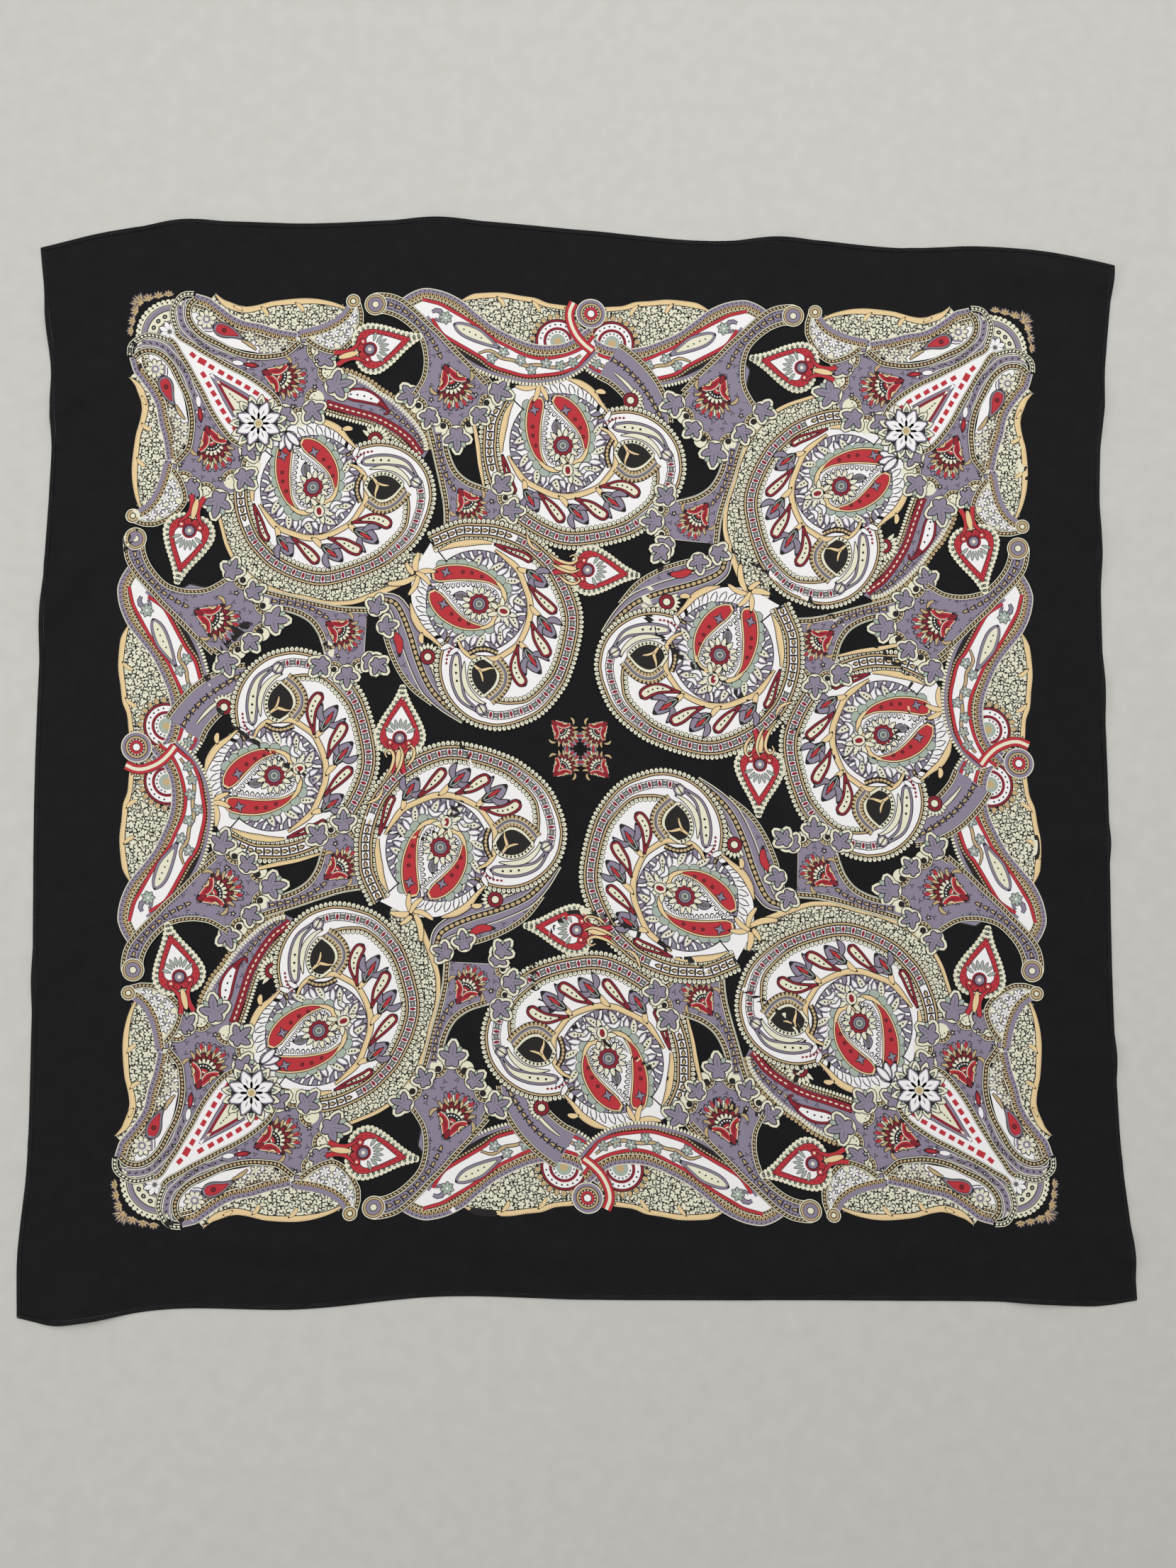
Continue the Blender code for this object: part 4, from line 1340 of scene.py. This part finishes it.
def draw_crescent_a():
    """The paisley crescent above the first whorl."""
    ink = Ink()
    outer = curve((-262, 389), (-255, 387), (-244, 385), (-233, 380), (-222, 374), (-212, 366),
                  (-201, 359), (-190, 350), (-179, 339), (-170, 328), (-163, 316), (-160, 304),
                  count=50)
    inner = curve((-272, 352), (-255, 347), (-239, 341), (-222, 336), (-212, 331), (-201, 325),
                  (-190, 318), (-180, 311), (-172, 303), (-164, 296), count=50)
    ink.between("violet", outer, inner)
    middle = outer * 0.6 + inner * 0.4
    seeded(ink, outer, inner, 13)
    ink.line("violet", middle[26:49], 6)
    buds(ink, middle[26:49], 7.4, "tan", 0.9)
    ink.row("black", oval(1.7, 1.3, 3), beside(outer, -6.2), 3.4)
    stripe = curve((-270, 356), (-255, 351), (-239, 346), (-222, 341), (-212, 337), (-201, 331),
                   (-190, 324), (-179, 315), (-173, 307), (-167, 299))
    ink.line("black", stripe, 8.4)
    ink.line("wine", stripe, 7.6)
    ink.row("cream", oval(4.2, 1.9, 3), stripe, 6.0)
    ink.row("tan", oval(2.8, 2.6, 3), beside(stripe, -6.2), 3.2)
    ink.row("cream", arch(-3.4, 2.6), beside(stripe, -8.0), 3.5)
    picots(ink, outer, 4.6, 1, "tan")
    ink.line("cream", outer, 0.9)
    ink.row("cream", arch(-3.2, 2.5), beside(outer, -0.6), 3.4)
    drop(ink, [(-250, 364), (-238, 363), (-226, 361), (-213, 355), (-204, 347)],
         [3.6, 7.6, 7.8, 5.4, 1.4], [(0, "black"), (0.6, "wine"), (2.6, "black"), (3.0, "white")])
    ink.many("black", oval(2.4, 2.4, 3), [(-241, 363.4), (-234, 362.6), (-227, 361), (-220, 358)],
             [0] * 4)
    branch(ink, curve((-212, 355), (-205, 349), (-202, 343), (-207, 342)), [4, 3.4, 2.6, 1],
           "wine", hairs=False)
    fan(ink, (-215, 316), 45)
    return ink


def draw_crosses():
    """A violet field between five leaves, and the band from it down to a smaller field."""
    ink = Ink()
    # The smaller field and its band
    left = curve((-164, 336), (-158, 316), (-151, 290), (-145, 268), (-140, 246), (-138, 222),
                 count=40)
    right = curve((-140, 330), (-140, 306), (-131, 284), (-117, 272), (-100, 266), (-84, 262),
                  count=30)
    right = even(np.concatenate([right, curve((-82, 256), (-80, 244), (-86, 226))]), count=40)
    ink.between("cream", beside(left, -1.6), beside(right, 1.6))
    ink.between("violet", left, right)
    seeded(ink, left, right, 14)
    rope(ink, beside(left, 2.0), 3.6, "tan")
    rope(ink, beside(right[:26], -2.0), 3.6, "tan")
    # The larger field
    edge = curve((-166, 404), (-163, 384), (-170, 362), (-158, 348), (-146, 338), (-132, 328),
                 (-119, 338), (-108, 350), (-94, 364), (-102, 380), (-120, 392), (-138, 408),
                 (-152, 422), (-166, 404))
    centre = np.broadcast_to(np.array([-138.0, 374.0]), edge.shape)
    ink.between("black", beside(edge, -1.8), centre)
    ink.between("violet", edge, centre)
    seeded(ink, edge[: len(edge) // 2], edge[: len(edge) // 2 - 1: -1][: len(edge) // 2], 15)
    rope(ink, curve((-94, 368), (-104, 382), (-122, 394), (-140, 411), (-150, 420)), 3.8)
    for hole, middle, dark in (
        ((-172, 349), 45, (-171, 350)), ((-146, 327), 70, (-145, 329)),
        ((-117, 329), 120, (-119, 331)), ((-99, 353), 150, (-101, 354)),
    ):
        bay(ink, hole, 8.0, middle - 80, middle + 80, dark)
    for hole, middle, dark in (((-77, 256), 180, (-78, 256)), ((-79, 230), 160, (-80, 230))):
        bay(ink, hole, 7.0, middle - 80, middle + 80, dark)
    for at, angle, size in (
        ((-179, 362), 200, 10), ((-159, 340), 250, 9), ((-131, 319), 275, 12),
        ((-110, 342), 320, 9), ((-90, 367), 340, 11), ((-84, 268), 45, 10), ((-73, 243), 0, 10),
        ((-86, 220), 320, 9),
    ):
        ivy(ink, at, angle, size)
    tulip(ink, (-117, 250), (-127, 265), 0.74)
    sprigs(ink, ((-112, 362), (-158, 356), (-92, 252)))
    strip = curve((-150, 322), (-147, 300), (-140, 278), (-130, 262))
    ink.line("violet", strip, 7)
    buds(ink, strip, 7.8)
    return ink


def draw_crescent_b():
    """The dotted band beside the second whorl, with its red tip and half rosette."""
    ink = Ink()
    line = curve((-200, 152), (-188, 148), (-180, 136), (-172, 115), (-164, 88), (-153, 62),
                 (-138, 44), (-118, 28))
    edge = curve((-203, 150), (-200, 128), (-194, 104), (-184, 80), (-170, 60), (-150, 44),
                 count=len(line))
    ink.between("violet", edge, line)
    seeded(ink, edge, line, 16, 9.0)
    rope(ink, edge, 3.2)
    half = np.interp(np.linspace(0, 1, len(line)), [0, 0.3, 0.7, 1], [5, 10, 8, 3])
    ink.band("cream", line, half + 2, -half - 2)
    ink.band("black", line, half + 1, -half - 1)
    ink.band("violet", line, half, -half)
    ink.line("cream", line, 7)
    ink.line("black", line, 6)
    ink.row("tan", oval(5.0, 3.8, 4), line, 6.0)
    leaf(ink, (-193, 122), (-183, 92), 9, 0.15, [(0, "black"), (0.8, "red")])
    fan(ink, (-154, 92), 30, 11)
    return ink


def draw_crescent_c():
    """The violet crescent beside the third whorl, with its chain of tan beads."""
    ink = Ink()
    outer = curve((-420, 36), (-408, 52), (-392, 68), (-374, 80), (-354, 88), (-340, 90),
                  count=30)
    inner = curve((-386, 14), (-380, 26), (-370, 38), (-358, 48), (-346, 58), (-336, 70),
                  count=30)
    ink.between("violet", outer, inner)
    middle = (outer + inner) / 2
    buds(ink, beside(middle, 3), 8.0, "tan", 1.1)
    branch(ink, beside(middle, -8)[4:22], [1, 3, 3, 1.5], "cream", hairs=False)
    rope(ink, outer, 3.6)
    rope(ink, inner, 3.6)
    fan(ink, (-362, 48), 60, 10)
    return ink


def draw_middle():
    """One of the four small tulips at the middle of the print, and the golden scrolls above it."""
    ink = Ink()
    tulip(ink, (-18.5, 18.5), (-30, 30), 0.62)
    for scroll in (
        curve((-54, 220), (-51, 210), (-45, 204), (-38, 202)),
        curve((-31, 200), (-20, 193), (-8, 190), (-1, 194), (-4, 199), (-9, 197)),
        curve((-29, 190), (-18, 184), (-6, 181), (2, 184)),
        curve((-20, 178), (-12, 171), (-4, 169), (2, 172), (0, 176)),
    ):
        branch(ink, scroll, [0.6, 2.6, 2.4, 0.8], hairs=False)
    return ink


# The whole print
def draw_quarters():
    """The quarter's drawings in the order of printing. Each is printed in all four quarters before
    the next one."""
    stages = []

    def stage(*drawings, mirror=False, at=(0.0, 0.0)):
        ink = Ink()
        for drawing in drawings:
            if mirror:
                ink.place(drawing, flip=True, at=at)
            ink.place(drawing)
        stages.append(ink)

    side_field, long_drop, arm = draw_side_field(), draw_long_drop(), draw_arm()
    stage(side_field, mirror=True)
    left_drop = Ink()
    left_drop.place(long_drop, flip=True)
    stage(left_drop)
    stage(draw_crescent_ground(), draw_crescent_a(), draw_crescent_b(), draw_crescent_c())
    whorl = draw_whorl()
    fourth = Ink()
    fourth.place(whorl, at=(-21, 312), hub=WHORL_HUB, turn=-4, scale=1.02)
    gold_star(fourth, (-49, 374), -1.1)
    stage(fourth)
    crosses = Ink()
    pair = draw_crosses()
    crosses.place(pair, flip=True, at=(6.3, 5))
    crosses.place(pair)
    branch(crosses, curve((-113, 330), (-109, 310), (-106, 290), (-101, 268)), [3, 4, 3.4, 2])
    for at, angle in (((-207, 143), 70), ((-198, 124), 10), ((-206, 86), -40)):
        ivy(crosses, at, angle, 9)
    stage(crosses)
    second = Ink()
    second.place(whorl, at=(-101, 146), hub=WHORL_HUB, turn=1.5, scale=1.02, flip=True)
    stage(second)
    first = Ink()
    first.place(whorl)
    gold_star(first, (-165, 176))
    white_petals(first, (-306, 326), -1.35)
    stage(first)
    stage(long_drop)
    stage(draw_drop_head())
    stage(arm, mirror=True)
    corner = Ink()
    corner.place(draw_corner())
    for drawing in (draw_field_one(), draw_boteh()):
        corner.place(drawing, flip=True)
        corner.place(drawing)
    corner.place(draw_kite())
    heart = draw_heart()
    corner.place(heart, at=(-168, 422), turn=14, scale=0.97)
    corner.place(heart, at=(-411, 171), turn=-101, scale=0.97)
    corner.place(heart, at=(-180, 64), turn=86, scale=0.95)
    stages.append(corner)
    stage(draw_middle())
    return stages


# How far the print lies from a true square, in mm: towards +X at seven heights on its left, middle
# and right, and towards +Y at seven places along its bottom, middle and top
STATIONS = (-480, -320, -160, 0, 160, 320, 480)
EDGE = STATIONS[-1]
ACROSS = {
    "left": (2, 4, 5, 0, -3, 1, -2),
    "middle": (7, 0, -2, -8, -11, -5, -3),
    "right": (4, -6, -7, -12, -14, -7, -3),
}
UPWARDS = {
    "bottom": (9, 5, 15, 15, 7, 2, 2),
    "middle": (4, 2, 10, 9, 4, 3, 1),
    "top": (9, 9, 13, 9, 5, 6, 1),
}
INK_RISE = 0.08  # from the cloth to one step under the first print, mm
INK_STEP = 0.014  # from each print to the next one over it, mm
MOST_FACES = 95000  # in one piece of the print


def shifted(lines, along, over):
    """How far points are shifted, from three lines of shifts at the stations along: those at the
    low edge, the middle and the high edge the other way."""
    share = over / EDGE
    low, middle, high = (curve(*zip(STATIONS, line)) for line in lines.values())
    return (
        np.interp(along, *low.T) * share * (share - 1) / 2
        + np.interp(along, *middle.T) * (1 - share**2)
        + np.interp(along, *high.T) * share * (share + 1) / 2
    )


def on_cloth(points, rise):
    """Points of the print in mm, and their rise in mm, as they lie on the cloth in metres."""
    x = points[:, 0] + shifted(ACROSS, points[:, 1], points[:, 0])
    y = points[:, 1] + shifted(UPWARDS, points[:, 0], points[:, 1])
    x, y = x / 1000, y / 1000
    z = lift(x, y) + WALL + rise / 1000
    return np.stack([x - MIDDLE[0], y - MIDDLE[1], z], axis=-1)


LEVEL_CELLS = 1040  # each way in the grid that finds what lies over what, 1 mm each
LEVEL_STEP = 1.3  # between the points of a fill that are looked up in that grid, mm


def levels_of(fills):
    """How many prints each fill lies over, found on a fine grid of the cloth."""
    high = np.zeros((LEVEL_CELLS, LEVEL_CELLS), np.int16)
    levels = []
    for _, grids in fills:
        steps = np.abs(np.diff(grids, axis=1)).max(initial=0), np.abs(
            np.diff(grids, axis=2)).max(initial=0)
        rows, columns = (max(1, math.ceil(step / LEVEL_STEP)) for step in steps)
        u = np.linspace(0, 1, rows + 1)[:, None, None]
        v = np.linspace(0, 1, columns + 1)[:, None]
        parts = grids[:, :, :, None, None, :]
        a, b = parts[:, :-1, :-1], parts[:, 1:, :-1]
        c, d = parts[:, :-1, 1:], parts[:, 1:, 1:]
        dots = (a * (1 - u) + b * u) * (1 - v) + (c * (1 - u) + d * u) * v
        column, row = (dots.reshape(-1, 2).T + LEVEL_CELLS / 2).astype(int)
        levels.append(int(high[row, column].max()) + 1)
        high[row, column] = levels[-1]
    return levels


def make_print():
    """The printed colours, each one or more pieces, just over the cloth."""
    fills = []
    for ink in draw_quarters():
        whole = Ink()
        for quarter in range(4):
            whole.place(ink, turn=90 * quarter)
        fills += whole.fills
    levels = levels_of(fills)
    pieces = []
    for name, colour in INKS.items():
        points, faces, rises, count = [], [], [], 0
        for (ink_name, grids), level in zip(fills, levels):
            if ink_name != name:
                continue
            number, rows, columns = grids.shape[:3]
            index = np.arange(number * rows * columns).reshape(number, rows, columns) + count
            corners = (index[:, :-1, :-1], index[:, :-1, 1:], index[:, 1:, 1:], index[:, 1:, :-1])
            points.append(grids.reshape(-1, 2))
            rises.append(np.full(number * rows * columns, INK_RISE + INK_STEP * level))
            faces.append(np.stack(corners, axis=-1).reshape(-1, 4))
            count += number * rows * columns
        if not count:
            continue
        points, faces = np.concatenate(points), np.concatenate(faces)
        a, b, c, d = (points[faces[:, k]] for k in range(4))
        across, up = c - a, d - b
        area = across[:, 0] * up[:, 1] - across[:, 1] * up[:, 0]
        faces = np.where((area < 0)[:, None], faces[:, ::-1], faces)[np.abs(area) > 1e-4]
        finish = woven(f"{name}_ink", colour, 0.75)
        places = on_cloth(points, np.concatenate(rises))
        parts = math.ceil(len(faces) / MOST_FACES)
        for number in range(parts):
            some = faces[len(faces) * number // parts: len(faces) * (number + 1) // parts]
            used, local = np.unique(some, return_inverse=True)
            piece = add_mesh(f"print_{name}_{number + 1}", places[used], local.reshape(-1, 4),
                             finish)
            piece.data.shade_flat()
            pieces.append(piece)
    return pieces


# Assembly
cloth_finish = woven("black_cloth", (0.0068, 0.0068, 0.0078), 0.85, (0.0086, 0.0086, 0.0097))
hem_finish = woven("black_hem", (0.0080, 0.0080, 0.0090), 0.8, (0.0120, 0.0120, 0.0130), 0.3)
thread_finish = woven("black_thread", (0.020, 0.020, 0.022), 0.6, (0.030, 0.030, 0.033), 0.2)

cloth = make_cloth(cloth_finish)
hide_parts("panel")
going_with = []
for side in SIDES:
    going_with += [make_hem(side, hem_finish), make_stitches(side, thread_finish)]
going_with += make_print()

# The picture
FLOOR_REACH = 9.0
floor_mesh = bpy.data.meshes.new("floor")
floor_corners = [
    (x * FLOOR_REACH, y * FLOOR_REACH, 0) for x, y in ((-1, -1), (1, -1), (1, 1), (-1, 1))
]
floor_mesh.from_pydata(floor_corners, [], [(0, 1, 2, 3)])
floor_finish = woven("pale_floor", (0.54, 0.53, 0.495), 0.7, (0.57, 0.56, 0.525), 0.02)
floor_mesh.materials.append(floor_finish)
floor = bpy.data.objects.new("floor", floor_mesh)
floor.location.z = -0.0005
bpy.context.scene.collection.objects.link(floor)

CAMERA_PLACE = (-0.030, -0.090, 1.144)  # before the whole is centred
CAMERA_TURN = (3.18, -1.5, 0.03)  # degrees off straight down
camera_data = bpy.data.cameras.new("camera")
camera_data.sensor_fit = "VERTICAL"
camera_data.sensor_height = 36.0
camera_data.lens = 26.04
camera_data.clip_start = 0.05
camera = bpy.data.objects.new("camera", camera_data)
camera.location = (CAMERA_PLACE[0] - MIDDLE[0], CAMERA_PLACE[1] - MIDDLE[1], CAMERA_PLACE[2])
camera.rotation_euler = [math.radians(angle) for angle in CAMERA_TURN]
bpy.context.scene.collection.objects.link(camera)
bpy.context.scene.camera = camera


def add_light(name, size, power, place, colour=(1.0, 1.0, 1.0)):
    """A soft square light above, aimed at the middle of the cloth."""
    data = bpy.data.lights.new(name, "AREA")
    data.size, data.energy, data.color = size, power, colour
    lamp = bpy.data.objects.new(name, data)
    lamp.location = place
    away = np.array(place) / np.linalg.norm(place)
    lamp.rotation_euler = (math.acos(away[2]), 0.0, math.atan2(away[0], -away[1]))
    bpy.context.scene.collection.objects.link(lamp)


add_light("overhead", 2.4, 55.0, (0.3, 1.1, 2.6))
add_light("side", 1.6, 16.0, (-2.2, -0.4, 1.5), (1.0, 0.985, 0.96))

world = bpy.data.worlds.new("soft_room")
world.use_nodes = True
world.node_tree.nodes["Background"].inputs["Color"].default_value = (1.0, 1.0, 1.0, 1.0)
world.node_tree.nodes["Background"].inputs["Strength"].default_value = 0.40
bpy.context.scene.world = world
bpy.context.scene.view_settings.view_transform = "Standard"
